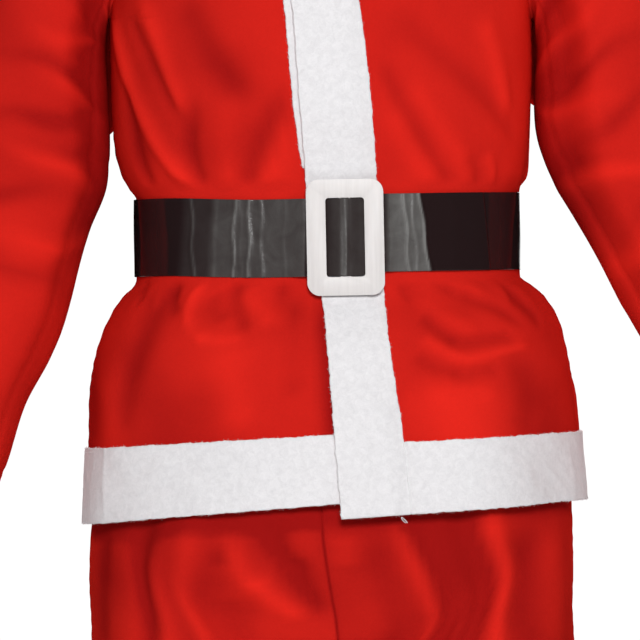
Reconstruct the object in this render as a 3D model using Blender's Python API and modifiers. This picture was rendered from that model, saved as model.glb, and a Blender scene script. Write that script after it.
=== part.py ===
"""Santa suit: felt jacket, trousers and vinyl belt, worn hollow with no wearer.

Metres, +Z up, front towards -Y, +X is the wearer's left.  The origin lies at
shoulder height, midway between the shoulders.
"""
import math

import bmesh
import bpy
import numpy as np

# ---- driving sizes -------------------------------------------------------
CLOTH = 0.0020              # felt wall
VINYL = 0.0013              # belt strap wall
GAP = 0.0003                # between pieces that touch
FULLNESS = 0.045            # how much squarer than an ellipse a ring is

CHEST_Z = -0.2265           # underarm level
NECK_HALF = 0.085
SHOULDER_HALF = 0.215
SHOULDER_DROP = 0.045       # from neck to shoulder tip
NECK_DROP_FRONT = 0.085
NECK_DROP_BACK = 0.020
SHOULDER_ARC = 0.300        # cloth length from the underarm level to the shoulder seam
YOKE_HALF = 0.236           # ring half width where front and back meet
ARMHOLE_TOP = 62.0          # degrees round the ring, at the shoulder tip
ARMHOLE_DIP = 6.0           # further cut at mid height

HEM_BAND = 0.063            # height of the white hem band
BELT_Z = -0.418
BELT_TILT = 0.0034
BELT_WIDTH = 0.069
BELT_BOTTOM = -0.457        # the jacket is drawn in between these two levels
BELT_TOP = -0.378
HEM_Z = -0.666
HEM_TILT = 0.011            # the hem hangs lower on the wearer's right
LEFT_EDGE_DROP = 0.007      # the lapped front hangs lower at its edge

RISE_START = -0.750         # the centre seam curves under from here
SIDE_START = -0.620         # the sides turn into legs from here
LEG_START = -0.830          # two separate legs below this
TROUSER_TOP = -0.395
RISE_SWELL = 0.07           # keeps the depth while one tube turns into two legs

# ---- sections ------------------------------------------------------------
# jacket rings: level, half width, front depth, back depth, centre x
JACKET_RINGS = np.array([
    (-0.700, 0.2255, 0.162, 0.165, 0.0060),
    (-0.666, 0.2243, 0.160, 0.162, 0.0060),
    (-0.600, 0.2205, 0.155, 0.158, 0.0050),
    (-0.567, 0.2180, 0.151, 0.155, 0.0037),
    (-0.540, 0.2145, 0.1460, 0.151, 0.0030),
    (-0.513, 0.2088, 0.1390, 0.146, 0.0038),
    (-0.495, 0.2030, 0.1310, 0.141, 0.0045),
    (-0.477, 0.1925, 0.1210, 0.133, 0.0034),
    (-0.470, 0.1860, 0.1192, 0.128, 0.0025),
    (-0.457, 0.1725, 0.1190, 0.118, 0.0000),
    (-0.418, 0.1725, 0.1190, 0.118, -0.0003),
    (-0.378, 0.1725, 0.1190, 0.118, -0.0005),
    (-0.368, 0.1800, 0.1192, 0.123, -0.0030),
    (-0.360, 0.1825, 0.1200, 0.125, -0.0040),
    (-0.352, 0.1843, 0.1235, 0.127, -0.0050),
    (-0.333, 0.1870, 0.1310, 0.129, -0.0062),
    (-0.297, 0.1888, 0.136, 0.130, -0.0063),
    (-0.2265, 0.1900, 0.135, 0.128, -0.0063),
    (-0.150, 0.1930, 0.135, 0.126, -0.0040),
])

# trouser rings: level, half width, front depth, back depth, centre x
TROUSER_RINGS = np.array([
    (-0.850, 0.2180, 0.138, 0.152, 0.0040),
    (-0.783, 0.2205, 0.143, 0.156, 0.0045),
    (-0.740, 0.2206, 0.146, 0.158, 0.0030),
    (-0.690, 0.2170, 0.147, 0.157, 0.0035),
    (-0.660, 0.2145, 0.146, 0.154, 0.0045),
    (-0.600, 0.2105, 0.142, 0.148, 0.0045),
    (-0.540, 0.2040, 0.135, 0.141, 0.0030),
    (-0.500, 0.1880, 0.1205, 0.130, 0.0030),
    (-0.475, 0.1730, 0.1152, 0.1165, 0.0010),
    (-0.457, 0.1695, 0.1160, 0.1150, 0.0000),
    (-0.418, 0.1695, 0.1160, 0.1150, -0.0003),
    (-0.390, 0.1695, 0.1160, 0.1150, -0.0005),
])

# one trouser leg: level, inner x, outer x, front depth, back depth
LEG_RINGS = np.array([
    (-1.440, 0.0620, 0.2180, 0.076, 0.080),
    (-1.300, 0.0520, 0.2190, 0.080, 0.085),
    (-1.100, 0.0340, 0.2190, 0.092, 0.098),
    (-0.950, 0.0150, 0.2190, 0.114, 0.124),
    (-0.860, 0.0045, 0.2190, 0.127, 0.139),
    (-0.820, 0.0002, 0.2180, 0.131, 0.144),
    (-0.750, 0.0002, 0.2150, 0.133, 0.147),
])

# front edges: level, lapped band left and right edge, under strip left edge (x)
FRONT_EDGES = np.array([
    (-0.690, 0.0145, 0.0750, -0.0150),
    (-0.600, 0.0063, 0.0657, -0.0150),
    (-0.495, -0.0025, 0.0510, -0.0160),
    (-0.378, -0.0190, 0.0425, -0.0170),
    (-0.359, -0.0200, 0.0415, -0.0225),
    (-0.297, -0.0250, 0.0370, -0.0310),
    (-0.207, -0.0315, 0.0270, -0.0387),
    (-0.080, -0.0385, 0.0190, -0.0465),
])
LAP_MIDDLE = 0.5            # the under front ends halfway across the band
# how far the lapped front is lifted: level, lift
LAP_LIFT = np.array([
    (-0.700, 0.00465), (-0.580, 0.00465), (-0.555, 0.00235),
    (-0.368, 0.00235), (-0.359, 0.00465), (0.000, 0.00465),
])
LAP_FLAT = 0.0115           # the lift stays whole this far past the under front's edge
LAP_RAMP = 0.026            # then fades over this width

# soft folds: angle and level at each end, half width, depth (trough negative)
JACKET_FOLDS = np.array([
    (-66, -0.240, -42, -0.372, 0.016, 0.0035),
    (-76, -0.290, -52, -0.370, 0.012, -0.0040),
    (58, -0.235, 40, -0.365, 0.018, 0.0025),
    (74, -0.280, 62, -0.365, 0.014, -0.0035),
    (-30, -0.470, -42, -0.570, 0.011, -0.0030),
    (-48, -0.470, -66, -0.600, 0.012, 0.0035),
    (-14, -0.468, -12, -0.540, 0.009, 0.0025),
    (34, -0.470, 44, -0.590, 0.013, -0.0030),
    (58, -0.470, 74, -0.600, 0.014, 0.0030),
    (150, -0.200, 135, -0.365, 0.018, 0.0035),
    (212, -0.220, 226, -0.365, 0.016, 0.0030),
    (182, -0.250, 178, -0.370, 0.015, -0.0035),
    (120, -0.470, 112, -0.600, 0.014, 0.0035),
    (158, -0.470, 150, -0.560, 0.012, -0.0030),
    (196, -0.470, 203, -0.590, 0.013, 0.0030),
    (240, -0.470, 252, -0.600, 0.014, -0.0030),
])
GATHERS = 22                # small waves round the waist, below the belt
GATHER_DEPTH = 0.0016
GATHER_FADE = 0.030

# sleeves: inner x, inner z, width, tilt in degrees, front-back depth, centre y
SLEEVE_RIGHT = np.array([
    (-0.1995, -0.262, 0.139, 31.0, 0.158, 0.000),
    (-0.1978, -0.300, 0.148, 22.0, 0.154, -0.001),
    (-0.1958, -0.337, 0.157, 17.0, 0.150, -0.002),
    (-0.1990, -0.372, 0.161, 15.0, 0.146, -0.004),
    (-0.2169, -0.422, 0.156, 15.0, 0.143, -0.006),
    (-0.2358, -0.495, 0.153, 16.0, 0.138, -0.010),
    (-0.2502, -0.528, 0.148, 18.0, 0.134, -0.012),
    (-0.2714, -0.570, 0.140, 20.0, 0.132, -0.015),
    (-0.2844, -0.612, 0.136, 21.5, 0.130, -0.018),
    (-0.3000, -0.652, 0.131, 22.5, 0.130, -0.020),
])
SLEEVE_LEFT = np.array([
    (0.1868, -0.262, 0.139, 33.5, 0.158, 0.000),
    (0.1850, -0.292, 0.150, 26.5, 0.154, -0.001),
    (0.1856, -0.320, 0.160, 21.5, 0.150, -0.002),
    (0.2021, -0.369, 0.165, 23.0, 0.146, -0.004),
    (0.2205, -0.401, 0.162, 25.0, 0.144, -0.006),
    (0.2426, -0.440, 0.159, 27.0, 0.141, -0.009),
    (0.2718, -0.495, 0.155, 29.5, 0.136, -0.012),
    (0.3000, -0.545, 0.147, 29.5, 0.133, -0.015),
    (0.3270, -0.600, 0.140, 29.0, 0.131, -0.018),
    (0.3450, -0.640, 0.134, 28.0, 0.130, -0.020),
])

BUCKLE_X = 0.0153
BUCKLE_SIZE = (0.072, 0.0045, 0.105)
BUCKLE_WINDOW = (0.036, 0.0715)
BUCKLE_CORNER = 0.012
BUCKLE_WINDOW_CORNER = 0.003
BUCKLE_BAR = 0.006
BUCKLE_BAR_THICK = 0.0018
BUCKLE_OFF = 0.0073         # back of the buckle, off the jacket
BUCKLE_ROLL = math.radians(1.1)
TAIL_END_X = 0.140

RED = (0.58, 0.017, 0.010)
WHITE = (0.80, 0.80, 0.82)
BLACK = (0.022, 0.019, 0.019)
IVORY = (0.84, 0.82, 0.79)


# ---- helpers -------------------------------------------------------------
def smooth_rows(table, where):
    """Read a table's columns at a value of its first, by a smooth monotone curve."""
    order = np.argsort(table[:, 0])
    x, y = table[order, 0], table[order, 1:]
    step = np.diff(x)
    slope = np.diff(y, axis=0) / step[:, None]
    tangent = np.zeros_like(y)
    tangent[0], tangent[-1] = slope[0], slope[-1]
    both = slope[:-1] * slope[1:] > 0
    mean = 2 * slope[:-1] * slope[1:] / np.where(both, slope[:-1] + slope[1:], 1)
    tangent[1:-1] = np.where(both, mean, 0)
    at = np.clip(np.asarray(where, float), x[0], x[-1])
    cell = np.clip(np.searchsorted(x, at) - 1, 0, len(step) - 1)
    width = step[cell][..., None]
    t = (at[..., None] - x[cell][..., None]) / width
    value = (2 * t ** 3 - 3 * t ** 2 + 1) * y[cell] + (t ** 3 - 2 * t ** 2 + t) * width * tangent[cell]
    value = value + (3 * t ** 2 - 2 * t ** 3) * y[cell + 1] + (t ** 3 - t ** 2) * width * tangent[cell + 1]
    return np.moveaxis(value, -1, 0)


def ease(value):
    """Smooth step from 0 to 1."""
    value = np.clip(value, 0.0, 1.0)
    return value * value * (3 - 2 * value)


def full(angle):
    """Widening of an ellipse towards its corners."""
    return 1 + FULLNESS * np.sin(2 * angle) ** 2


def unit(vectors):
    return vectors / np.maximum(np.linalg.norm(vectors, axis=-1, keepdims=True), 1e-12)


# ---- the jacket's shape --------------------------------------------------
def shoulder_z(x):
    """Height of the shoulder line over a point."""
    run = np.clip((np.abs(x) - NECK_HALF) / (SHOULDER_HALF - NECK_HALF), 0, 1.5)
    return -SHOULDER_DROP * run


def fold_lift(angle, level):
    """Distance that the soft folds move the cloth outwards."""
    total = np.zeros(np.broadcast(angle, level).shape)
    radius = 0.17
    for a0, z0, a1, z1, half_width, depth in JACKET_FOLDS:
        along = np.array([math.radians(a1 - a0) * radius, z1 - z0])
        length = float(np.hypot(*along))
        turn = angle - math.radians(a0)
        turn = (turn + math.pi) % (2 * math.pi) - math.pi
        px, pz = turn * radius, level - z0
        t = (px * along[0] + pz * along[1]) / length ** 2
        across = (px * along[1] - pz * along[0]) / length
        ends = ease((t + 0.25) / 0.35) * ease((1.25 - t) / 0.35)
        total = total + depth * ends * np.exp(-(across / half_width) ** 2)
    below = np.clip(BELT_BOTTOM - level, 0, 1)
    wave = np.cos(GATHERS * angle + 1.7 * np.sin(3 * angle) + 0.8 * np.sin(5 * angle))
    gathered = GATHER_DEPTH * wave * np.exp(-below / GATHER_FADE) * ease(below / 0.012)
    total = total + gathered
    clear_of_belt = ease((BELT_BOTTOM - level) / 0.014) + ease((level - BELT_TOP) / 0.014)
    near_lap = ease((np.abs(angle) - math.radians(12)) / math.radians(14))
    return total * clear_of_belt * near_lap


def jacket_point(angle, level):
    """Outer face of the jacket at an angle from the front and a level up the cloth."""
    angle, level = np.broadcast_arrays(np.asarray(angle, float), np.asarray(level, float))
    half, front, back, centre = smooth_rows(JACKET_RINGS, np.minimum(level, CHEST_Z))
    rise = np.clip((level - CHEST_Z) / SHOULDER_ARC, 0, 1) * math.pi / 2
    half = half + (YOKE_HALF - half) * ease(rise / (math.pi / 2))
    centre = centre * (1 - ease(rise / (math.pi / 2)))
    depth = np.where(np.cos(angle) > 0, front, back) * np.cos(rise)
    lift = fold_lift(angle, level) * np.cos(rise)
    x = centre + (half + lift) * np.sin(angle) * full(angle)
    y = -(depth + lift) * np.cos(angle) * full(angle)
    height = shoulder_z(x) - CHEST_Z
    z = np.where(level > CHEST_Z, CHEST_Z + height * np.sin(rise), level)
    return np.stack([x, y, z], axis=-1)


def jacket_normal(angle, level, surface=jacket_point):
    """Outward direction of a surface."""
    step = 1e-4
    across = surface(angle + step * 5, level) - surface(angle - step * 5, level)
    up = surface(angle, level + step) - surface(angle, level - step)
    return unit(np.cross(across, up))


def angle_at(x, level):
    """Angle of the point of the front with a given x."""
    x, level = np.broadcast_arrays(np.asarray(x, float), np.asarray(level, float))
    angle = np.zeros(x.shape)
    for _ in range(12):
        at = jacket_point(angle, level)[..., 0]
        slope = (jacket_point(angle + 1e-4, level)[..., 0] - at) / 1e-4
        angle = angle + (x - at) / slope
    return angle


def lapped_point(angle, level):
    """Outer face of the left front, lifted where it laps over the right one."""
    base = jacket_point(angle, level)
    left, right, _ = smooth_rows(FRONT_EDGES, base[..., 2])
    middle = left + (right - left) * LAP_MIDDLE
    height = np.interp(base[..., 2], LAP_LIFT[:, 0], LAP_LIFT[:, 1])
    fade = 1 - ease((base[..., 0] - middle - LAP_FLAT) / LAP_RAMP)
    return base + jacket_normal(angle, level) * (height * fade)[..., None]


# ---- rows and edges shared by the panels ---------------------------------
# levels from the hem up, the band's top edge third and the chest last
LOWER_LEVELS = np.array([
    -0.6645, -0.634, -0.603, -0.576, -0.550, -0.525, -0.503, -0.485, -0.470, -0.457,
    -0.418, -0.378, -0.368, -0.359, -0.345, -0.325, -0.297, -0.262, CHEST_Z])
BAND_ROWS = 3
BELT_TOP_ROW = 13           # the under strip starts here, over the buckle
YOKE_ROWS = 10
YOKE_STEPS = (np.arange(1, YOKE_ROWS + 1) / YOKE_ROWS) ** 1.25
LEVELS = np.concatenate([LOWER_LEVELS, CHEST_Z + YOKE_STEPS * SHOULDER_ARC])


def armhole_angle(level):
    """Angle of the panels' outer edge: the side seam, then the armhole."""
    t = np.clip((np.asarray(level, float) - CHEST_Z) / SHOULDER_ARC, 0, 1)
    open_part = np.sqrt(1 - (1 - t) ** 4)
    degrees = 90 - (90 - ARMHOLE_TOP) * open_part - ARMHOLE_DIP * np.sin(math.pi * t)
    return np.radians(degrees)


def top_level(angle, drop):
    """Top level of a panel: the round neckline near the middle, else the shoulder seam."""
    round_neck = np.sqrt(np.clip(1 - (angle / NECK_ANGLE) ** 2, 0, 1))
    lowest = math.asin((-drop - CHEST_Z) / -CHEST_Z)
    rise = np.arccos(np.maximum(math.cos(lowest) * round_neck, SEAM_EDGE))
    return CHEST_Z + rise / (math.pi / 2) * SHOULDER_ARC


def panel_grid(edge_angle, drop, edge_drop=0.0):
    """Angles and levels of a panel's grid, from a function of row level and column."""
    angles, levels = [], []
    for base in LEVELS:
        row = edge_angle(base)
        weight = float(np.clip((BELT_BOTTOM - base) / (BELT_BOTTOM - HEM_Z), 0, 1))
        sag = edge_drop * np.clip(1 - np.abs(row) / math.radians(60), 0, 1)
        if base <= CHEST_Z:
            level = base + weight * (HEM_TILT * np.sin(row) - sag)
        else:
            from_middle = row - math.pi * np.round(row / math.pi)
            top = top_level(from_middle, drop)
            level = CHEST_Z + (top - CHEST_Z) * (base - CHEST_Z) / SHOULDER_ARC
        angles.append(row)
        levels.append(level)
    return np.array(angles), np.array(levels)


def shell_object(name, outer, inner, material, closed=False):
    """One closed wall between two like grids of points, rows by columns."""
    rows, columns = outer.shape[:2]
    mesh = bmesh.new()
    faces = [[[mesh.verts.new(p) for p in row] for row in grid] for grid in (outer, inner)]
    last = columns if closed else columns - 1
    for grid in faces:
        for i in range(rows - 1):
            for j in range(last):
                k = (j + 1) % columns
                mesh.faces.new((grid[i][j], grid[i][k], grid[i + 1][k], grid[i + 1][j]))
    top, bottom = faces
    for i in (0, rows - 1):
        for j in range(last):
            k = (j + 1) % columns
            mesh.faces.new((top[i][j], top[i][k], bottom[i][k], bottom[i][j]))
    for j in () if closed else (0, columns - 1):
        for i in range(rows - 1):
            mesh.faces.new((top[i][j], top[i + 1][j], bottom[i + 1][j], bottom[i][j]))
    bmesh.ops.recalc_face_normals(mesh, faces=mesh.faces)
    return finished_object(name, mesh, material)


def finished_object(name, mesh, material):
    """Turn a bmesh into a smooth shaded object of the suit."""
    data = bpy.data.meshes.new(name)
    mesh.to_mesh(data)
    mesh.free()
    data.shade_smooth()
    data.set_sharp_from_angle(angle=math.radians(40))
    data.materials.append(material)
    item = bpy.data.objects.new(name, data)
    bpy.data.collections["santa_suit"].objects.link(item)
    return item


def felt(name, colour, roughness=0.9):
    material = bpy.data.materials.new(name)
    material.use_nodes = True
    shader = material.node_tree.nodes["Principled BSDF"]
    shader.inputs["Base Color"].default_value = (*colour, 1)
    shader.inputs["Roughness"].default_value = roughness
    return material


# ---- jacket panels -------------------------------------------------------
def side_limit(level):
    """The outer edge, half a seam gap short of the side."""
    seam = GAP / 2 / 0.19
    return np.minimum(armhole_angle(level), math.pi / 2 - seam)


BAND_COLUMNS = 3            # columns of the left front under the band
STRIP_COLUMNS = 3           # columns of the right front under the strip
CENTRE_COLUMNS = 3          # columns from a band to the neck corner
FRONT_COLUMNS = 11          # columns from the neck corner to the side
BACK_NECK_COLUMNS = 6
NECK_ANGLE = math.radians(20.7)  # the ring passes the neck corner at this angle
SEAM_EDGE = 0.002           # share of the depth left at a shoulder seam's edge


def edge_height(level):
    """Height of a front's edge row, for reading the edge table."""
    if level <= CHEST_Z:
        return level
    top = CHEST_Z + math.sin((level - CHEST_Z) / SHOULDER_ARC * math.pi / 2) * -CHEST_Z
    return min(top, -NECK_DROP_FRONT)


def left_front_angles(level):
    left, right, _ = smooth_rows(FRONT_EDGES, np.array(edge_height(level)))
    read = min(level, CHEST_Z + 0.55 * SHOULDER_ARC)
    start, stop = angle_at(left, read), angle_at(right, read)
    band = np.linspace(start, stop, BAND_COLUMNS + 1)
    return np.concatenate([band, outer_angles(stop, level)])


def right_front_angles(level):
    left, right, strip = smooth_rows(FRONT_EDGES, np.array(edge_height(level)))
    read = min(level, CHEST_Z + 0.55 * SHOULDER_ARC)
    start = angle_at(left + (right - left) * LAP_MIDDLE, read)
    stop = angle_at(strip, read)
    lap = np.linspace(start, stop, STRIP_COLUMNS + 1)
    return np.concatenate([lap, -outer_angles(-stop, level)])


def outer_angles(start, level):
    """A front's columns outwards from its band, one of them at the neck corner."""
    first = math.asin(start / NECK_ANGLE)
    centre = NECK_ANGLE * np.sin(np.linspace(first, math.pi / 2, CENTRE_COLUMNS + 1)[1:])
    return np.concatenate([centre, np.linspace(NECK_ANGLE, side_limit(level), FRONT_COLUMNS)[1:]])


def back_angles(level):
    """The back's columns from side to side, with one at each neck corner."""
    outside = np.linspace(side_limit(level), NECK_ANGLE, FRONT_COLUMNS)
    neck = NECK_ANGLE * np.cos(np.linspace(0, math.pi, BACK_NECK_COLUMNS + 1)[1:-1])
    return math.pi - np.concatenate([outside, neck, -outside[::-1]])


def build_jacket(red, white):
    """Fronts and back, and the white bands that lie on them."""
    layouts = (
        ("jacket_front_left", left_front_angles, NECK_DROP_FRONT, LEFT_EDGE_DROP, lapped_point),
        ("jacket_front_right", right_front_angles, NECK_DROP_FRONT, 0.0, jacket_point),
        ("jacket_back", back_angles, NECK_DROP_BACK, 0.0, jacket_point),
    )
    grids = {}
    for name, edges, drop, edge_drop, surface in layouts:
        angles, levels = panel_grid(edges, drop, edge_drop)
        points = surface(angles, levels)
        normals = jacket_normal(angles, levels, surface)
        grids[name] = points, normals
        shell_object(name, points, points - CLOTH * normals, red)
    band_column = BAND_COLUMNS + 1
    pieces = (
        ("front_band", "jacket_front_left", slice(None), slice(0, band_column)),
        ("under_band", "jacket_front_right", slice(BELT_TOP_ROW, None), slice(0, STRIP_COLUMNS + 1)),
        ("hem_band_left", "jacket_front_left", slice(0, BAND_ROWS), slice(BAND_COLUMNS, None)),
        ("hem_band_right", "jacket_front_right", slice(0, BAND_ROWS), slice(None)),
        ("hem_band_back", "jacket_back", slice(0, BAND_ROWS), slice(None)),
    )
    for name, panel, rows, columns in pieces:
        points, normals = grids[panel]
        points, normals = points[rows, columns].copy(), normals[rows, columns]
        if name == "hem_band_left":
            along = unit(points[:, 1] - points[:, 0])
            points[:, 0] += GAP * along
        lay_on(name, points, normals, white)
    return grids


def lay_on(name, points, normals, material):
    """A strip of cloth on a panel, made from the panel's own points moved out."""
    inner = points + GAP * normals
    shell_object(name, inner + CLOTH * normals, inner, material)


# ---- sleeves -------------------------------------------------------------
ARMHOLE_GAP = 0.0004
CAP_ROWS = 6
SLEEVE_ROWS = 12


def armhole_loop():
    """Angles and levels round the armhole, from the underarm up the front."""
    rise = np.concatenate([[0.0], YOKE_STEPS])
    levels = np.concatenate([rise, rise[-2:0:-1]]) * SHOULDER_ARC + CHEST_Z
    angles = armhole_angle(levels)
    count = len(rise)
    angles[count:] = math.pi - angles[count:]
    return angles, levels


def build_sleeve(name, table, side, red):
    """A sleeve: a cap bent from the armhole, then rings down the arm."""
    angles, levels = armhole_loop()
    start = jacket_point(side * angles, levels)
    count = len(start)
    normal = jacket_normal(side * angles, levels)
    loop_way = unit(np.roll(start, -1, axis=0) - np.roll(start, 1, axis=0))
    away = unit(np.cross(loop_way, normal)) * side
    tip = YOKE_ROWS
    away[tip] = (side, 0, -0.35)
    start = start + ARMHOLE_GAP * unit(away)
    sideways = np.array([side * 0.7, 0, 0])
    leave = unit(away + sideways)

    turn = 2 * math.pi * np.arange(count) / count

    def ring(row):
        inner_x, inner_z, width, tilt, depth, centre_y = smooth_rows(
            np.column_stack([np.arange(len(table)), table]), np.array(row))
        tilt = math.radians(tilt)
        inner = np.array([inner_x, centre_y, inner_z])
        outer = inner + width * np.array([side * math.cos(tilt), 0, math.sin(tilt)])
        middle, reach = (inner + outer) / 2, (outer - inner) / 2
        shape = full(turn)[:, None]
        points = middle - reach * np.cos(turn)[:, None] * shape
        points[:, 1] -= depth / 2 * np.sin(turn) * shape[:, 0]
        return points

    first, second = ring(0), ring(0.35)
    arrive = unit(second - first)
    up_share = (1 - np.cos(turn)) / 2
    leave_speed = (0.020 + 0.035 * up_share)[:, None]
    arrive_speed = (0.050 + 0.050 * up_share)[:, None]
    rows = []
    for t in np.linspace(0, 1, CAP_ROWS + 1)[:-1]:
        t = t ** 1.25
        rows.append((2 * t ** 3 - 3 * t ** 2 + 1) * start
                    + (t ** 3 - 2 * t ** 2 + t) * leave_speed * leave
                    + (3 * t ** 2 - 2 * t ** 3) * first
                    + (t ** 3 - t ** 2) * arrive_speed * arrive)
    for row in np.linspace(0, len(table) - 1, SLEEVE_ROWS):
        rows.append(ring(row))
    outer = np.array(rows)
    across = np.roll(outer, -1, axis=1) - np.roll(outer, 1, axis=1)
    along = np.gradient(outer, axis=0)
    facing = unit(np.cross(along, across)) * side
    facing[0] = normal
    shell_object(name, outer, outer - CLOTH * facing, red, closed=True)


# ---- trousers ------------------------------------------------------------
TROUSER_LEVELS = np.array([
    -1.440, -1.340, -1.220, -1.100, -1.000, -0.920, -0.870, -0.846, -0.829,
    -0.812, -0.794, -0.772, -0.744, -0.708, -0.668, -0.628, -0.585, -0.540, -0.500, -0.478,
    -0.457, -0.425, TROUSER_TOP])
TROUSER_COLUMNS = 11


def trouser_point(share, level, side, front):
    """Outer face of a trouser panel: share 0 at the side seam, 1 at the middle."""
    share, level = np.broadcast_arrays(np.asarray(share, float), np.asarray(level, float))
    half, front_depth, back_depth, centre = smooth_rows(TROUSER_RINGS, level)
    inner_x, outer_x, leg_front, leg_back = smooth_rows(LEG_RINGS, level)
    depth = front_depth if front else back_depth
    way = -1 if front else 1
    angle = math.pi / 2 * (1 - share)
    hip_x = side * half * np.sin(angle) * full(angle)
    hip_y = way * depth * np.cos(angle) * full(angle)
    leg_angle = math.pi / 2 - math.pi * share
    reach = (outer_x - inner_x) / 2
    leg_x = side * ((outer_x + inner_x) / 2 + reach * np.sin(leg_angle) * full(leg_angle))
    leg_y = way * (leg_front if front else leg_back) * np.cos(leg_angle) * full(leg_angle)
    start = SIDE_START + (RISE_START - SIDE_START) * ease(share)
    mix = ease((start - level) / (start - LEG_START))
    swell = 1 + RISE_SWELL * 4 * mix * (1 - mix)
    x = hip_x * (1 - mix) + leg_x * mix + centre
    y = (hip_y * (1 - mix) + leg_y * mix) * swell
    return np.stack([x, y, level], axis=-1)


def build_trousers(red):
    """Four panels, front and back of each leg, with their own centre and side seams."""
    share, level = np.meshgrid(np.linspace(0, 1, TROUSER_COLUMNS), TROUSER_LEVELS)
    step = 1e-3
    for side, side_name in ((1, "left"), (-1, "right")):
        for front, front_name in ((True, "front"), (False, "back")):
            def at(s, z):
                return trouser_point(s, z, side, front)
            points = at(share, level)
            across = at(share + step, level) - at(share - step, level)
            up = at(share, level + step) - at(share, level - step)
            normals = unit(np.cross(across, up))
            normals *= -side if front else side
            points[..., 0] += side * GAP / 2
            points[..., 1] += (-1 if front else 1) * GAP / 2
            shell_object(f"trouser_{front_name}_{side_name}", points, points - CLOTH * normals, red)


# ---- belt ----------------------------------------------------------------
STRAP_OFF = 0.0006
STRAP_STEP = math.radians(5)
# where along the front the strap lifts: x, distance off the jacket
STRAP_START = np.array([(0.010, 0.0050), (0.043, 0.0050), (0.062, STRAP_OFF)])
STRAP_END = np.array([
    (-0.0400, STRAP_OFF), (-0.0215, 0.0050), (-0.0030, 0.0050), (0.0112, 0.0096),
    (0.0194, 0.0096), (0.0320, 0.0066), (0.0430, 0.0066), (0.0620, STRAP_OFF + VINYL + GAP),
    (TAIL_END_X, STRAP_OFF + VINYL + GAP)])
STRAP_SUBSTEPS = 4


def eased_stations(table):
    """Stations along x with the lift eased between a table's rows."""
    stations = []
    for (x0, off0), (x1, off1) in zip(table[:-1], table[1:]):
        for share in np.arange(STRAP_SUBSTEPS) / STRAP_SUBSTEPS:
            stations.append((x0 + (x1 - x0) * share, off0 + (off1 - off0) * float(ease(share))))
    stations.append(tuple(table[-1]))
    return np.array(stations)


def build_strap(black):
    """One strap: from behind the buckle bar, round the back, over the bar to its tail."""
    start, end = eased_stations(STRAP_START), eased_stations(STRAP_END)
    first = angle_at(start[:, 0], BELT_Z)
    final = angle_at(end[:, 0], BELT_Z) + 2 * math.pi
    count = int((final[0] - first[-1]) / STRAP_STEP)
    round_back = np.linspace(first[-1], final[0], count)[1:-1]
    angles = np.concatenate([first, round_back, final])
    lifts = np.concatenate([start[:, 1], np.full(len(round_back), STRAP_OFF), end[:, 1]])
    middle = BELT_Z + BELT_TILT * np.sin(angles)
    inner, outer = [], []
    for edge in (-0.5, 0.5):
        level = middle + edge * BELT_WIDTH
        points, normals = jacket_point(angles, level), jacket_normal(angles, level)
        inner.append(points + normals * lifts[:, None])
        outer.append(points + normals * (lifts + VINYL)[:, None])
    shell_object("belt_strap", np.stack(outer, 1), np.stack(inner, 1), black)


def rounded_slab(name, size, corner, segments, place):
    """A slab whose four edges along Y are rounded."""
    mesh = bmesh.new()
    bmesh.ops.create_cube(mesh, size=1)
    bmesh.ops.scale(mesh, vec=size, verts=mesh.verts)
    upright = [e for e in mesh.edges if abs(e.verts[0].co.y - e.verts[1].co.y) > size[1] / 2]
    if corner:
        bmesh.ops.bevel(mesh, geom=upright, offset=corner, segments=segments, profile=0.5, affect="EDGES")
    bmesh.ops.translate(mesh, vec=place, verts=mesh.verts)
    data = bpy.data.meshes.new(name)
    mesh.to_mesh(data)
    mesh.free()
    return bpy.data.objects.new(name, data)


def build_buckle(ivory):
    """Plastic frame with a thin bar down its middle, set flat against the band."""
    angle = angle_at(BUCKLE_X, BELT_Z)
    back_y = float(jacket_point(angle, BELT_Z)[1]) - BUCKLE_OFF
    width, thick, height = BUCKLE_SIZE
    window_width, window_height = BUCKLE_WINDOW
    frame = rounded_slab("buckle", BUCKLE_SIZE, BUCKLE_CORNER, 5, (0, 0, 0))
    half_window = (window_width - BUCKLE_BAR) / 2
    cutters = []
    for side in (-1, 1):
        place = (side * (BUCKLE_BAR + half_window) / 2, 0, 0)
        size = (half_window, thick * 2, window_height)
        cutters.append(rounded_slab(f"window_{side}", size, BUCKLE_WINDOW_CORNER, 2, place))
    recess = (BUCKLE_BAR + 0.002, thick, window_height)
    cutters.append(rounded_slab("bar_recess", recess, 0, 1, (0, -BUCKLE_BAR_THICK, 0)))
    for cutter in cutters:
        bpy.data.collections["cutters"].objects.link(cutter)
        cutter.hide_render = True
        cutter.display_type = "WIRE"
        cut = frame.modifiers.new(cutter.name, "BOOLEAN")
        cut.object = cutter
    soften = frame.modifiers.new("soft edges", "BEVEL")
    soften.width = 0.0006
    soften.segments = 1
    soften.limit_method = "ANGLE"
    soften.angle_limit = math.radians(50)
    place = (BUCKLE_X, back_y - thick / 2, BELT_Z)
    for item in (frame, *cutters):
        item.location = place
        item.rotation_euler = (0, -BUCKLE_ROLL, 0)
    frame.data.materials.append(ivory)
    bpy.data.collections["santa_suit"].objects.link(frame)


def main():
    for item in list(bpy.data.objects):
        bpy.data.objects.remove(item)
    for name in ("santa_suit", "cutters"):
        bpy.context.scene.collection.children.link(bpy.data.collections.new(name))
    red, white = felt("red felt", RED), felt("white felt", WHITE)
    build_jacket(red, white)
    build_sleeve("sleeve_right", SLEEVE_RIGHT, -1, red)
    build_sleeve("sleeve_left", SLEEVE_LEFT, 1, red)
    build_trousers(red)
    build_strap(felt("black vinyl", BLACK, 0.3))
    build_buckle(felt("ivory plastic", IVORY, 0.4))


main()
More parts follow.
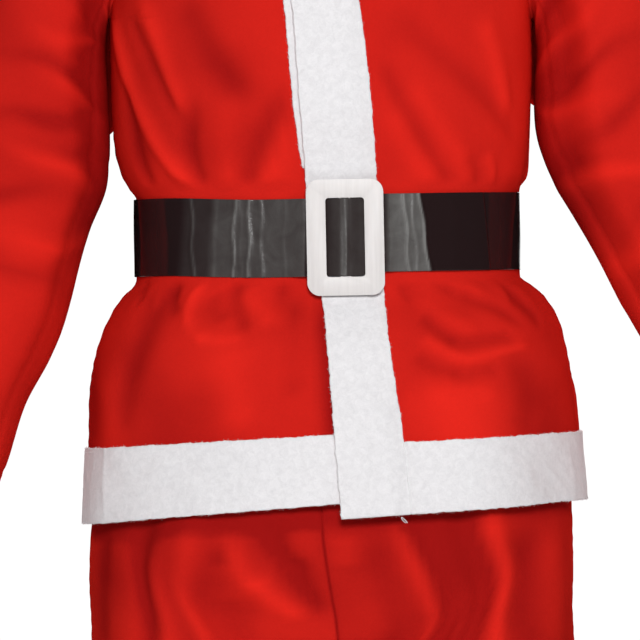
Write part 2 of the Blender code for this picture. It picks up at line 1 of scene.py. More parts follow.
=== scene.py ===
"""Santa suit: felt jacket, trousers and vinyl belt, worn hollow with no wearer.

Laid out as an add-on and run as a script.  Metres, +Z up, front towards -Y,
+X is the wearer's left, origin at shoulder height midway between the shoulders.
"""

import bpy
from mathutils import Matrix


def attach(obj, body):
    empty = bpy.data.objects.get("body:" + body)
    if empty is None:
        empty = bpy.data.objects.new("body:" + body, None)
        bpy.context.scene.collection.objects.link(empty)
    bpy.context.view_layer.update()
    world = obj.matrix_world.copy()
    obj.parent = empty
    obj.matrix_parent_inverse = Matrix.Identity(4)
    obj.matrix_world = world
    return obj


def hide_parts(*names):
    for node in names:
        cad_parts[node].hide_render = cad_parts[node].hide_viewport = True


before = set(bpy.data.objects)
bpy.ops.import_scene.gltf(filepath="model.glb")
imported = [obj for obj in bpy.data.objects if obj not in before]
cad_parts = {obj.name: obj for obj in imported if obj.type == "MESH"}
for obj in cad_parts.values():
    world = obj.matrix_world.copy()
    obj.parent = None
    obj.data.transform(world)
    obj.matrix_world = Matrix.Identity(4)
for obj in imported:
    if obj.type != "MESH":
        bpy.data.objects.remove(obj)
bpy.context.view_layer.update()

import math

import bmesh
import bpy
import numpy as np
from mathutils import Matrix, Vector

bl_info = {
    "name": "Santa suit",
    "version": (1, 0, 0),
    "blender": (4, 5, 0),
    "location": "View3D > Sidebar > Suit",
    "description": "Builds a worn felt santa suit with its belt on a packed frame",
    "category": "Object",
}

# ---- sizes shared with the frame ----
FULLNESS = 0.045  # widening of every ellipse towards its corners
CHEST_Z = -0.2265  # where the jacket's rings end and its yoke begins
SHOULDER_HALF, NECK_HALF, SHOULDER_DROP = 0.215, 0.085, 0.045
NECK_DROP_FRONT, NECK_DROP_BACK = 0.085, 0.020
NECK_ANGLE = math.radians(20.7)  # half the neck opening, seen from the middle
SHOULDER_ARC, YOKE_HALF = 0.300, 0.236  # cloth from chest to shoulder seam, half width there
ARMHOLE_TOP, ARMHOLE_DIP = 62.0, 6.0  # degrees from the front at its top, and how far it dips in
SEAM_EDGE = 0.002  # cosine that keeps a panel's top just short of the shoulder seam
CLOTH, VINYL, GAP, ARMHOLE_GAP = 0.002, 0.0013, 0.0003, 0.0004
CLOTH_RADIUS = 0.17  # turns an angle round the body into cloth width
BAND_RADIUS = 0.12  # the same at the front edge, where the jacket is flatter
SIDE_RADIUS = 0.19  # the same at the side seams

PANEL_HEM, HEM_Z, BAND_TOP, STRIP_START = -0.6645, -0.666, -0.603, -0.359
HEM_TILT, LEFT_EDGE_DROP, RIGHT_EDGE_DROP = 0.011, 0.0055, -0.0085
EDGE_DROP_TURN = math.radians(60)  # where a front edge's drop has died away
HIDDEN_EDGE = 0.013  # how far a red edge stays back under its band, in radians

TROUSER_TOP, TROUSER_HEM = -0.395, -1.440
RISE_START, SIDE_START, LEG_START = -0.778, -0.620, -0.835
RISE_SWELL = 0.07  # fuller between hip and leg
CROTCH_FALL = {"front": 0.145, "back": 0.095}  # how far the middle falls back above the crotch
CROTCH_FALL_TOP, CROTCH_FALL_RUN = -0.672, -0.112
MIDDLE_SHARES, LEAN_SHARES = (0.35, 0.65), (0.4, 0.6)  # start and run across a panel
PANEL_WIDTH = 0.24  # of one trouser panel, for its creases and UV

BELT_BOTTOM, BELT_TOP = -0.457, -0.378
BELT_Z, BELT_WIDTH, STRAP_OFF = -0.418, 0.069, 0.0006
BELT_TILT, BELT_TILT_REACH = 0.0034, 0.075  # one side higher, and how far above and below
TAIL_END_X, TAIL_SLANT = 0.140, 0.011
BUCKLE_SIZE, BUCKLE_CORNER = (0.072, 0.0045, 0.105), 0.012
BUCKLE_WINDOW, BUCKLE_WINDOW_CORNER = (0.036, 0.0715), 0.003
BUCKLE_BAR, BUCKLE_BAR_THICK, BUCKLE_SOFT_EDGE = 0.006, 0.0018, 0.0011
BUCKLE_X, BUCKLE_OFF, BUCKLE_ROLL = 0.0153, 0.0073, math.radians(1.1)
BUCKLE_DROP = 0.0032  # the buckle hangs a little lower than the strap round the sides
SHARP_TURN = math.radians(50)  # edges sharper than this are softened
BUCKLE_TRIM = (0.957, 1, 0.985, 1)  # the moulding is this much smaller than its blank

# level, half width, front depth, back depth, centre x
JACKET_RINGS = np.array([
    (-0.700, 0.2255, 0.162, 0.165, 0.006),
    (-0.666, 0.2243, 0.160, 0.162, 0.006),
    (-0.600, 0.2205, 0.155, 0.158, 0.005),
    (-0.567, 0.218, 0.151, 0.155, 0.0037),
    (-0.540, 0.2145, 0.146, 0.151, 0.003),
    (-0.513, 0.2088, 0.139, 0.146, 0.0038),
    (-0.495, 0.203, 0.131, 0.141, 0.0045),
    (-0.477, 0.1925, 0.121, 0.133, 0.0034),
    (-0.470, 0.186, 0.1192, 0.128, 0.0025),
    (-0.457, 0.1725, 0.119, 0.118, 0.000),
    (-0.418, 0.1725, 0.119, 0.118, -0.0003),
    (-0.3825, 0.1725, 0.119, 0.118, -0.0005),
    (-0.373, 0.1775, 0.120, 0.122, -0.0022),
    (-0.360, 0.1825, 0.1226, 0.125, -0.004),
    (-0.352, 0.1843, 0.1244, 0.127, -0.005),
    (-0.333, 0.187, 0.129, 0.129, -0.0062),
    (-0.297, 0.1888, 0.135, 0.130, -0.0063),
    (-0.2265, 0.190, 0.135, 0.128, -0.0063),
    (-0.150, 0.193, 0.135, 0.126, -0.004),
])

# the same columns
TROUSER_RINGS = np.array([
    (-0.850, 0.218, 0.138, 0.152, 0.004),
    (-0.783, 0.2205, 0.143, 0.156, 0.0045),
    (-0.740, 0.2206, 0.146, 0.158, 0.003),
    (-0.690, 0.217, 0.147, 0.157, 0.0035),
    (-0.660, 0.2145, 0.146, 0.154, 0.0045),
    (-0.600, 0.2105, 0.142, 0.148, 0.0045),
    (-0.540, 0.204, 0.135, 0.141, 0.003),
    (-0.500, 0.188, 0.1205, 0.130, 0.003),
    (-0.475, 0.173, 0.1152, 0.1165, 0.001),
    (-0.457, 0.1695, 0.116, 0.115, 0.000),
    (-0.418, 0.1695, 0.116, 0.115, -0.0003),
    (-0.390, 0.1695, 0.116, 0.115, -0.0005),
])

# level, inner x, outer x, front depth, back depth of one leg
LEG_RINGS = np.array([
    (-1.440, 0.062, 0.218, 0.076, 0.080),
    (-1.300, 0.052, 0.219, 0.080, 0.085),
    (-1.100, 0.034, 0.219, 0.092, 0.098),
    (-0.950, 0.015, 0.219, 0.114, 0.124),
    (-0.860, 0.0045, 0.219, 0.127, 0.139),
    (-0.820, 0.0002, 0.218, 0.131, 0.144),
    (-0.750, 0.0002, 0.215, 0.133, 0.147),
])

# level, lapped band left and right edge, under strip left edge (x)
FRONT_EDGES = np.array([
    (-0.690, 0.0145, 0.075, -0.015),
    (-0.600, 0.0063, 0.0657, -0.015),
    (-0.495, -0.0025, 0.051, -0.016),
    (-0.378, -0.019, 0.0425, -0.017),
    (-0.359, -0.020, 0.0415, -0.0225),
    (-0.297, -0.025, 0.037, -0.031),
    (-0.207, -0.0315, 0.027, -0.0387),
    (-0.080, -0.0385, 0.019, -0.0465),
])
LAP_MIDDLE = 0.5  # where the under edge lies across the band
# level, lift of the left front over the right one
LAP_LIFT = np.array([
    (-0.700, 0.00465), (-0.580, 0.00465), (-0.555, 0.00235),
    (-0.368, 0.00235), (-0.359, 0.00465), (0.000, 0.00465),
])
LAP_FLAT, LAP_RAMP = 0.0115, 0.026  # the lift stays, then fades, beyond the lap's middle

# inner x, inner z, width, tilt in degrees, front-back depth, centre y
SLEEVE_RIGHT = np.array([
    (-0.1995, -0.262, 0.139, 31.0, 0.158, 0.000),
    (-0.1978, -0.300, 0.148, 22.0, 0.154, -0.001),
    (-0.1958, -0.337, 0.157, 17.0, 0.150, -0.002),
    (-0.199, -0.372, 0.161, 15.0, 0.146, -0.004),
    (-0.2169, -0.422, 0.156, 15.0, 0.143, -0.006),
    (-0.2358, -0.495, 0.153, 16.0, 0.138, -0.010),
    (-0.2502, -0.528, 0.148, 18.0, 0.134, -0.012),
    (-0.2714, -0.570, 0.140, 20.0, 0.132, -0.015),
    (-0.2844, -0.612, 0.136, 21.5, 0.130, -0.018),
    (-0.300, -0.652, 0.131, 22.5, 0.130, -0.020),
])
SLEEVE_LEFT = np.array([
    (0.1868, -0.262, 0.139, 33.5, 0.158, 0.000),
    (0.185, -0.292, 0.150, 26.5, 0.154, -0.001),
    (0.1856, -0.320, 0.160, 21.5, 0.150, -0.002),
    (0.2021, -0.369, 0.165, 23.0, 0.146, -0.004),
    (0.2205, -0.401, 0.162, 25.0, 0.144, -0.006),
    (0.2426, -0.440, 0.159, 27.0, 0.141, -0.009),
    (0.2718, -0.495, 0.155, 29.5, 0.136, -0.012),
    (0.300, -0.545, 0.147, 29.5, 0.133, -0.015),
    (0.327, -0.600, 0.140, 29.0, 0.131, -0.018),
    (0.345, -0.640, 0.134, 28.0, 0.130, -0.020),
])

# ---- creases placed one by one ----
# cloth width from the front middle, level, at both ends, half width, depth
JACKET_CREASES = np.array([
    # above the belt, wearer's right front
    (-0.214, -0.229, -0.119, -0.383, 0.0086, 0.0046),
    (-0.158, -0.214, -0.113, -0.307, 0.0072, 0.0032),
    (-0.175, -0.229, -0.123, -0.307, 0.0054, -0.0024),
    (-0.110, -0.307, -0.109, -0.383, 0.0072, -0.0036),
    (-0.116, -0.216, -0.063, -0.295, 0.0126, -0.0034),
    (-0.070, -0.297, -0.086, -0.382, 0.0108, 0.0022),
    (-0.032, -0.297, -0.073, -0.382, 0.0081, -0.0032),
    (-0.024, -0.324, -0.052, -0.380, 0.0081, 0.0026),
    (-0.188, -0.292, -0.172, -0.380, 0.0108, -0.003),
    # above the belt, wearer's left front
    (0.048, -0.271, 0.111, -0.374, 0.0063, -0.0028),
    (0.058, -0.315, 0.087, -0.374, 0.009, 0.0018),
    (0.068, -0.232, 0.178, -0.322, 0.0108, -0.0026),
    (0.143, -0.232, 0.175, -0.306, 0.0099, 0.0026),
    (0.077, -0.288, 0.131, -0.369, 0.009, 0.0018),
    (0.129, -0.351, 0.143, -0.378, 0.0063, -0.0016),
    (0.150, -0.349, 0.163, -0.378, 0.0054, 0.0018),
    # below the belt, wearer's right front
    (-0.152, -0.468, -0.160, -0.585, 0.0126, -0.0036),
    (-0.074, -0.522, -0.068, -0.585, 0.0144, 0.0026),
    (-0.201, -0.460, -0.179, -0.478, 0.0045, -0.0024),
    (-0.150, -0.460, -0.127, -0.487, 0.0045, -0.003),
    (-0.174, -0.460, -0.153, -0.481, 0.0045, 0.0018),
    (-0.114, -0.461, -0.114, -0.493, 0.0049, 0.0034),
    (-0.114, -0.496, -0.096, -0.511, 0.0049, 0.0022),
    (-0.098, -0.475, -0.085, -0.495, 0.0081, -0.0024),
    (-0.099, -0.511, -0.068, -0.510, 0.0054, 0.0022),
    (-0.082, -0.461, -0.067, -0.502, 0.0054, -0.0034),
    (-0.070, -0.469, -0.046, -0.496, 0.0081, 0.0026),
    (-0.041, -0.463, -0.021, -0.508, 0.0063, -0.003),
    (-0.018, -0.513, -0.023, -0.559, 0.0072, -0.0028),
    # below the belt, wearer's left front
    (0.092, -0.461, 0.151, -0.496, 0.0063, -0.0028),
    (0.071, -0.477, 0.104, -0.504, 0.0072, 0.0018),
    (0.069, -0.493, 0.089, -0.514, 0.0054, -0.0028),
    (0.089, -0.514, 0.138, -0.511, 0.0054, -0.0028),
    (0.068, -0.511, 0.091, -0.528, 0.0049, 0.0028),
    (0.091, -0.529, 0.152, -0.518, 0.0049, 0.0028),
    (0.062, -0.529, 0.089, -0.543, 0.0054, -0.0022),
    (0.089, -0.543, 0.121, -0.540, 0.0054, -0.0022),
    (0.069, -0.559, 0.115, -0.561, 0.0072, 0.0016),
    (0.160, -0.473, 0.185, -0.493, 0.0081, -0.0026),
    (0.148, -0.531, 0.147, -0.594, 0.0144, -0.002),
    (0.063, -0.461, 0.058, -0.477, 0.0045, -0.0016),
    (0.111, -0.461, 0.103, -0.473, 0.0045, 0.0014),
    # slow flares towards the hem
    (-0.180, -0.540, -0.188, -0.680, 0.026, 0.0047),
    (-0.108, -0.560, -0.100, -0.680, 0.024, -0.0026),
    (0.100, -0.560, 0.096, -0.680, 0.026, 0.0036),
    (0.172, -0.550, 0.180, -0.680, 0.024, -0.0029),
    (0.300, -0.540, 0.306, -0.680, 0.025, 0.0047),
    (0.410, -0.550, 0.402, -0.680, 0.026, -0.0029),
    (-0.470, -0.540, -0.478, -0.680, 0.026, 0.0043),
    (-0.350, -0.550, -0.342, -0.680, 0.024, -0.0031),
    # back, above the belt
    (0.445, -0.190, 0.400, -0.372, 0.017, 0.0063),
    (0.385, -0.250, 0.352, -0.374, 0.014, -0.0059),
    (-0.440, -0.200, -0.396, -0.374, 0.016, 0.0059),
    (-0.375, -0.240, -0.340, -0.374, 0.015, -0.0063),
    (0.520, -0.240, 0.512, -0.374, 0.017, -0.0046),
    (0.310, -0.280, 0.300, -0.374, 0.013, 0.0046),
    (-0.300, -0.270, -0.292, -0.374, 0.013, -0.0039),
    # back, below the belt
    (0.300, -0.462, 0.282, -0.545, 0.011, -0.0034),
    (0.335, -0.462, 0.325, -0.560, 0.013, 0.0058),
    (0.378, -0.462, 0.374, -0.525, 0.009, -0.0034),
    (0.430, -0.462, 0.420, -0.570, 0.013, 0.0054),
    (0.475, -0.462, 0.480, -0.530, 0.009, -0.0031),
    (0.518, -0.462, 0.524, -0.560, 0.012, 0.0047),
    (-0.490, -0.462, -0.482, -0.525, 0.009, -0.0034),
    (-0.450, -0.462, -0.456, -0.570, 0.013, 0.0058),
    (-0.405, -0.462, -0.408, -0.535, 0.009, -0.0036),
    (-0.360, -0.462, -0.350, -0.560, 0.013, 0.005),
    (-0.310, -0.462, -0.296, -0.540, 0.010, -0.0034),
])
GATHERS, GATHER_DEPTH, GATHER_FADE = 34, 0.0011, 0.016  # round the jacket, below the belt
GATHER_SHARE_ABOVE, GATHER_FADE_ABOVE = 0.7, 0.010
GATHER_DRIFT = ((1.9, 3), (1.2, 7))  # how unevenly they sit: amount, waves round the jacket
JACKET_SLACK, SLACK_START, SLACK_RAMP = 0.0009, -0.69, 0.02
BELT_CLEAR = 0.012  # the belt holds the cloth flat this far beside it
LAP_FLAT_TURN = (math.radians(4), math.radians(12), math.radians(7))  # right, left, then a ramp

# the same columns as the jacket's
BAND_CREASES = [
    (0.012, -0.500, 0.030, -0.492, 0.003, -0.0005),
    (0.020, -0.580, 0.046, -0.574, 0.0035, 0.0005),
    (-0.012, -0.250, 0.014, -0.245, 0.004, 0.0005),
]
HEM_CREASES = {
    "hem_band_right": [
        (-0.196, -0.664, -0.192, -0.606, 0.004, -0.001),
        (-0.178, -0.664, -0.180, -0.606, 0.003, 0.0009),
        (-0.096, -0.650, -0.088, -0.620, 0.005, 0.0005),
    ],
    "hem_band_left": [
        (0.150, -0.662, 0.156, -0.610, 0.005, -0.0006),
        (0.206, -0.660, 0.203, -0.612, 0.0045, 0.0006),
    ],
    "hem_band_back": [
        (0.420, -0.664, 0.415, -0.606, 0.005, 0.0008),
        (0.560, -0.660, 0.566, -0.610, 0.0045, -0.0008),
        (0.660, -0.664, 0.655, -0.612, 0.0055, 0.0007),
    ],
}

# x and lift off the jacket, where the strap starts and where it ends
STRAP_START = np.array([(0.010, 0.005), (0.043, 0.005), (0.062, STRAP_OFF)])
STRAP_END = np.array([
    (-0.040, STRAP_OFF), (-0.0215, 0.005), (-0.003, 0.005), (0.0112, 0.0096),
    (0.0194, 0.0096), (0.032, 0.0066), (0.043, 0.0066), (0.062, STRAP_OFF + VINYL + GAP),
    (TAIL_END_X, STRAP_OFF + VINYL + GAP)])
# x at the strap's lower edge, x at its upper edge, half width, depth
STRAP_CREASES = [
    (-0.120, -0.1216, 0.0016, 0.0008),
    (-0.102, -0.100, 0.005, 0.0005),
    (-0.0845, -0.0828, 0.0021, 0.0012),
    (-0.0772, -0.0782, 0.0015, 0.0005),
    (-0.0704, -0.070, 0.0022, 0.0013),
    (-0.059, -0.060, 0.0016, 0.0007),
    (-0.039, -0.0382, 0.002, 0.0005),
    (0.056, 0.0545, 0.0018, 0.0005),
    (0.0722, 0.0676, 0.0015, 0.0012),
    (0.080, 0.074, 0.0014, 0.0006),
    (0.0902, 0.0812, 0.0016, 0.0013),
    (0.112, 0.111, 0.006, 0.0004),
]
# lengths of the strap with painted reflection and a rougher, crinkled finish: x from and to at the lower
# edge, at the upper edge, amount
STRAP_CRINKLE_GLARE = [(-0.137, -0.100, -0.132, -0.096, 0.22), (-0.110, -0.020, -0.106, -0.018, 0.70),
              (0.048, 0.0915, 0.048, 0.0828, 1.5), (-0.004, 0.034, -0.004, 0.034, 0.40),
              (0.008, 0.017, 0.009, 0.018, 1.0), (0.0262, 0.030, 0.0262, 0.030, 0.8)]

# degrees from the underarm towards the front, way down the sleeve there, slant (way per
# radian), spread in degrees, half width along the sleeve, depth
SLEEVE_CREASES_RIGHT = np.array([
    (60, 0.030, 0.020, 34, 0.009, -0.003),
    (40, 0.058, 0.030, 30, 0.008, 0.0026),
    (75, 0.085, -0.016, 36, 0.010, -0.0026),
    (50, 0.122, 0.024, 34, 0.009, 0.0026),
    (66, 0.160, 0.010, 38, 0.008, -0.0028),
    (40, 0.186, -0.020, 30, 0.0085, 0.0028),
    (78, 0.212, 0.022, 34, 0.009, -0.003),
    (30, 0.236, 0.000, 28, 0.007, -0.0026),
    (62, 0.256, -0.018, 36, 0.0085, 0.003),
    (95, 0.290, 0.016, 34, 0.010, -0.0026),
    (45, 0.322, 0.012, 34, 0.009, 0.0024),
    (70, 0.352, -0.012, 36, 0.009, -0.0024),
    (150, 0.060, 0.030, 40, 0.014, 0.0024),
    (190, 0.110, -0.024, 42, 0.012, -0.0026),
    (160, 0.200, 0.020, 36, 0.011, 0.0026),
    (205, 0.245, 0.012, 38, 0.010, -0.0026),
    (170, 0.300, -0.016, 40, 0.012, 0.0022),
    (300, 0.034, -0.024, 34, 0.010, -0.003),
    (275, 0.078, -0.018, 36, 0.010, 0.0028),
    (310, 0.118, 0.016, 32, 0.0085, -0.0026),
    (282, 0.165, -0.012, 36, 0.009, 0.0028),
    (306, 0.205, 0.018, 34, 0.0085, -0.003),
    (270, 0.232, -0.020, 36, 0.009, 0.0028),
    (300, 0.262, 0.010, 32, 0.008, -0.0026),
    (262, 0.318, 0.014, 38, 0.010, -0.0022),
    (315, 0.345, -0.014, 30, 0.009, 0.0022),
])
SLEEVE_CREASES_LEFT = SLEEVE_CREASES_RIGHT * (1, 1.07, -0.9, 1.05, 1.08, 0.92) + (6, -0.012, 0, 0, 0, 0)
SLEEVE_SEAM_TURN = math.radians(38)
HOLLOW_TURN, HOLLOW_DEPTH = (math.radians(56), math.radians(38)), 0.020  # shaded inner front
PRESS_END = {-1: -0.345, 1: -0.318}  # level where each sleeve leaves the side

# share from side seam to middle, level, at both ends, half width, depth
TROUSER_CREASES = {
    ("front", "right"): np.array([
        (0.23, -0.684, 0.15, -0.783, 0.012, -0.0024),
        (0.49, -0.670, 0.34, -0.800, 0.008, -0.0042),
        (0.56, -0.684, 0.42, -0.790, 0.009, 0.0018),
        (0.63, -0.670, 0.55, -0.800, 0.009, 0.0036),
        (0.71, -0.688, 0.72, -0.711, 0.007, -0.0018),
        (0.72, -0.688, 0.80, -0.730, 0.008, 0.0032),
        (0.80, -0.730, 0.91, -0.757, 0.008, 0.0032),
        (0.85, -0.679, 0.91, -0.715, 0.008, -0.0036),
        (0.91, -0.715, 0.97, -0.754, 0.008, -0.0034),
        (0.75, -0.747, 0.74, -0.783, 0.012, -0.0018),
        (0.56, -0.800, 0.86, -0.835, 0.012, -0.003),
        (0.60, -0.845, 0.95, -0.860, 0.011, 0.003),
        (0.40, -0.800, 0.34, -0.900, 0.015, 0.003),
    ]) * (1, 1, 1, 1, 1, 1.35),
    ("front", "left"): np.array([
        (0.95, -0.688, 0.94, -0.711, 0.012, 0.0018),
        (0.88, -0.693, 0.84, -0.783, 0.010, -0.0016),
        (0.80, -0.680, 0.72, -0.790, 0.006, 0.0032),
        (0.75, -0.668, 0.64, -0.800, 0.008, -0.0034),
        (0.71, -0.711, 0.60, -0.783, 0.007, 0.0014),
        (0.66, -0.655, 0.53, -0.800, 0.009, -0.0048),
        (0.58, -0.665, 0.42, -0.795, 0.008, 0.004),
        (0.46, -0.693, 0.31, -0.783, 0.014, -0.0022),
        (0.28, -0.693, 0.20, -0.783, 0.012, 0.0014),
        (0.60, -0.790, 0.90, -0.832, 0.012, -0.003),
        (0.56, -0.835, 0.92, -0.862, 0.011, 0.0028),
        (0.34, -0.800, 0.30, -0.900, 0.015, -0.0028),
    ]) * (1, 1, 1, 1, 1, 1.35),
    ("back", "right"): np.array([
        (0.30, -0.650, 0.34, -0.850, 0.016, -0.0028),
        (0.55, -0.650, 0.58, -0.820, 0.015, 0.003),
        (0.58, -0.800, 0.92, -0.840, 0.013, -0.0036),
        (0.50, -0.850, 0.90, -0.868, 0.012, 0.003),
        (0.78, -0.650, 0.80, -0.760, 0.013, -0.0024),
    ]),
    ("back", "left"): np.array([
        (0.26, -0.660, 0.30, -0.840, 0.015, 0.0028),
        (0.46, -0.650, 0.44, -0.830, 0.015, -0.003),
        (0.62, -0.790, 0.94, -0.836, 0.013, -0.0036),
        (0.54, -0.845, 0.92, -0.870, 0.012, 0.0032),
        (0.72, -0.650, 0.70, -0.780, 0.014, 0.0024),
    ]),
}
# level, how far the front's centre seam hangs off the middle
SEAM_LEAN = np.array([
    (-0.830, 0.0), (-0.805, 0.0034), (-0.783, 0.0046), (-0.760, 0.003), (-0.740, 0.0),
    (-0.715, -0.0042), (-0.690, -0.008), (-0.661, -0.0108), (-0.600, -0.011), (-0.540, 0.0)])
# turn round the leg from its outer side (share), level, slant, spread, half width, depth
LEG_CREASES = np.array([
    (0.55, -0.930, 0.030, 0.26, 0.014, -0.003),
    (0.30, -0.975, -0.040, 0.24, 0.012, 0.0028),
    (0.62, -1.020, 0.026, 0.22, 0.011, 0.0026),
    (0.42, -1.052, 0.020, 0.28, 0.010, -0.0034),
    (0.66, -1.078, -0.030, 0.24, 0.010, 0.003),
    (0.35, -1.104, 0.024, 0.26, 0.010, 0.003),
    (0.55, -1.138, 0.000, 0.28, 0.011, -0.0032),
    (0.40, -1.190, -0.026, 0.24, 0.014, 0.0024),
    (0.60, -1.260, 0.030, 0.26, 0.014, -0.0024),
    (0.38, -1.330, -0.020, 0.30, 0.012, -0.003),
    (0.62, -1.362, 0.022, 0.28, 0.011, 0.003),
    (0.45, -1.398, 0.000, 0.32, 0.010, -0.0028),
])


# ---- helpers ----
def smooth_rows(table, where):
    """Read a table's columns at a value of its first, by a smooth monotone curve."""
    order = np.argsort(table[:, 0])
    x, y = table[order, 0], table[order, 1:]
    step = np.diff(x)
    slope = np.diff(y, axis=0) / step[:, None]
    tangent = np.zeros_like(y)
    tangent[0], tangent[-1] = slope[0], slope[-1]
    both = slope[:-1] * slope[1:] > 0
    mean = 2 * slope[:-1] * slope[1:] / np.where(both, slope[:-1] + slope[1:], 1)
    tangent[1:-1] = np.where(both, mean, 0)
    at = np.clip(np.asarray(where, float), x[0], x[-1])
    cell = np.clip(np.searchsorted(x, at) - 1, 0, len(step) - 1)
    width = step[cell][..., None]
    t = (at[..., None] - x[cell][..., None]) / width
    value = hermite(t, y[cell], width * tangent[cell], y[cell + 1], width * tangent[cell + 1])
    return np.moveaxis(value, -1, 0)


def ease(value):
    """Smooth step from 0 to 1."""
    value = np.clip(value, 0.0, 1.0)
    return value * value * (3 - 2 * value)


def ramp(value, start, run):
    """Smooth step from 0 at start to 1 a run further, downwards if the run is negative."""
    return ease((value - start) / run)


def bell(value, width):
    """Smooth bump of height 1 round 0."""
    return np.exp(-(value / width) ** 2)


def half_turn(angle):
    """The same angle between minus and plus half a turn."""
    return (angle + math.pi) % (2 * math.pi) - math.pi


def hermite(t, start, leave, end, arrive):
    """Curve between two places that leaves and arrives at given speeds."""
    return ((2 * t ** 3 - 3 * t ** 2 + 1) * start + (t ** 3 - 2 * t ** 2 + t) * leave
            + (3 * t ** 2 - 2 * t ** 3) * end + (t ** 3 - t ** 2) * arrive)


def full(angle):
    """Widening of an ellipse towards its corners."""
    return 1 + FULLNESS * np.sin(2 * angle) ** 2


def unit(vectors):
    """Vectors of length one along the given ones."""
    return vectors / np.maximum(np.linalg.norm(vectors, axis=-1, keepdims=True), 1e-12)


# a crease's bend as a share of its half width, its waves, and how its ends fade
CREASE_BEND, CREASE_WAVES, CREASE_END, CREASE_END_RAMP = 0.18, 5.0, 0.22, 0.34
CREASE_FLARE = 0.35  # how much wider a crease is at its first end


def line_creases(across, along, rows, wrap=None):
    """Sum of soft ridges and troughs, each along a line in cloth coordinates."""
    total = np.zeros(np.broadcast(across, along).shape)
    for a0, z0, a1, z1, half_width, depth in rows:
        run = np.array([a1 - a0, z1 - z0])
        length = float(np.hypot(*run))
        px, pz = across - a0, along - z0
        if wrap:
            px = (px + wrap / 2) % wrap - wrap / 2
        t = (px * run[0] + pz * run[1]) / length ** 2
        side = (px * run[1] - pz * run[0]) / length
        bend = CREASE_BEND * half_width * np.sin(t * CREASE_WAVES + a0 * 40)
        ends = ramp(t, -CREASE_END, CREASE_END_RAMP) * ramp(t, 1 + CREASE_END, -CREASE_END_RAMP)
        width = half_width * (1 + CREASE_FLARE * np.clip(1 - t, 0, 1))
        total = total + depth * ends * bell(side + bend, width)
    return total


def ripple(a, b, seed, size=0.07):
    """Slow uneven swell of slack cloth, about one either way."""
    k = 2 * math.pi / size
    total = np.sin(k * a * 0.61 + seed + 1.3 * np.sin(k * b * 0.37 + seed))
    total = total + 0.8 * np.sin(k * b * 0.53 - seed * 2 + 1.1 * np.sin(k * a * 0.43))
    total = total + 0.5 * np.sin(k * (a * 0.9 + b * 0.8) + seed * 3)
    return total / 2.3


# ---- the jacket's surface ----
SMALL_STEP = 1e-4  # for slopes, in metres or radians
SEARCH_ROUNDS, SEARCH_STRIDE = 14, 0.4


def shoulder_z(x):
    """Height of the shoulder seam over a given x."""
    run = np.clip((np.abs(x) - NECK_HALF) / (SHOULDER_HALF - NECK_HALF), 0, 1.5)
    return -SHOULDER_DROP * run


def jacket_creases(angle, level):
    """How far creases, gathers and slack move the jacket's cloth outwards."""
    across = angle * CLOTH_RADIUS
    wrap = 2 * math.pi * CLOTH_RADIUS
    total = line_creases(across, level, JACKET_CREASES, wrap)
    below = np.clip(BELT_BOTTOM - level, 0, 1)
    above = np.clip(level - BELT_TOP, 0, 1)
    (first, first_waves), (second, second_waves) = GATHER_DRIFT
    drift = first * np.sin(first_waves * angle) + second * np.sin(second_waves * angle)
    gathers = np.exp(-below / GATHER_FADE) * (below > 0)
    gathers = gathers + GATHER_SHARE_ABOVE * np.exp(-above / GATHER_FADE_ABOVE) * (above > 0)
    total = total + GATHER_DEPTH * np.cos(GATHERS * angle + drift) * gathers
    slack = JACKET_SLACK * ripple(across, level, 2.1)
    total = total + slack * ramp(level, SLACK_START, SLACK_RAMP)
    clear_of_belt = ease(below / BELT_CLEAR) + ease(above / BELT_CLEAR)
    turned = half_turn(angle)
    flat_right, flat_left, flat_ramp = LAP_FLAT_TURN
    flat_side = np.where(turned < 0, flat_right, flat_left)
    return total * clear_of_belt * ramp(np.abs(turned), flat_side, flat_ramp)


def jacket_point(angle, level):
    """Outer face of the jacket at an angle from the front and a level up the cloth."""
    angle, level = np.broadcast_arrays(np.asarray(angle, float), np.asarray(level, float))
    slope = BELT_TILT * np.sin(angle) * np.exp(-((level - BELT_Z) / BELT_TILT_REACH) ** 4)
    half, front, back, centre = smooth_rows(JACKET_RINGS, np.minimum(level - slope, CHEST_Z))
    rise = np.clip((level - CHEST_Z) / SHOULDER_ARC, 0, 1) * math.pi / 2
    half = half + (YOKE_HALF - half) * ease(rise / (math.pi / 2))
    centre = centre * (1 - ease(rise / (math.pi / 2)))
    depth = np.where(np.cos(angle) > 0, front, back) * np.cos(rise)
    lift = jacket_creases(angle, level) * np.cos(rise)
    x = centre + (half + lift) * np.sin(angle) * full(angle)
    y = -(depth + lift) * np.cos(angle) * full(angle)
    height = shoulder_z(x) - CHEST_Z
    z = np.where(level > CHEST_Z, CHEST_Z + height * np.sin(rise), level)
    return np.stack([x, y, z], axis=-1)


def surface_normal(surface, angle, level):
    """Outward direction of a surface of the jacket."""
    turn, step = SMALL_STEP * 5, SMALL_STEP
    across = surface(angle + turn, level) - surface(angle - turn, level)
    up = surface(angle, level + step) - surface(angle, level - step)
    return unit(np.cross(across, up))


def angle_at(x, level):
    """Angle of the point of the front with a given x."""
    x, level = np.broadcast_arrays(np.asarray(x, float), np.asarray(level, float))
    angle = np.zeros(x.shape)
    for _ in range(SEARCH_ROUNDS):
        at = jacket_point(angle, level)[..., 0]
        slope = (jacket_point(angle + SMALL_STEP, level)[..., 0] - at) / SMALL_STEP
        angle = angle + np.clip((x - at) / slope, -SEARCH_STRIDE, SEARCH_STRIDE)
    return angle


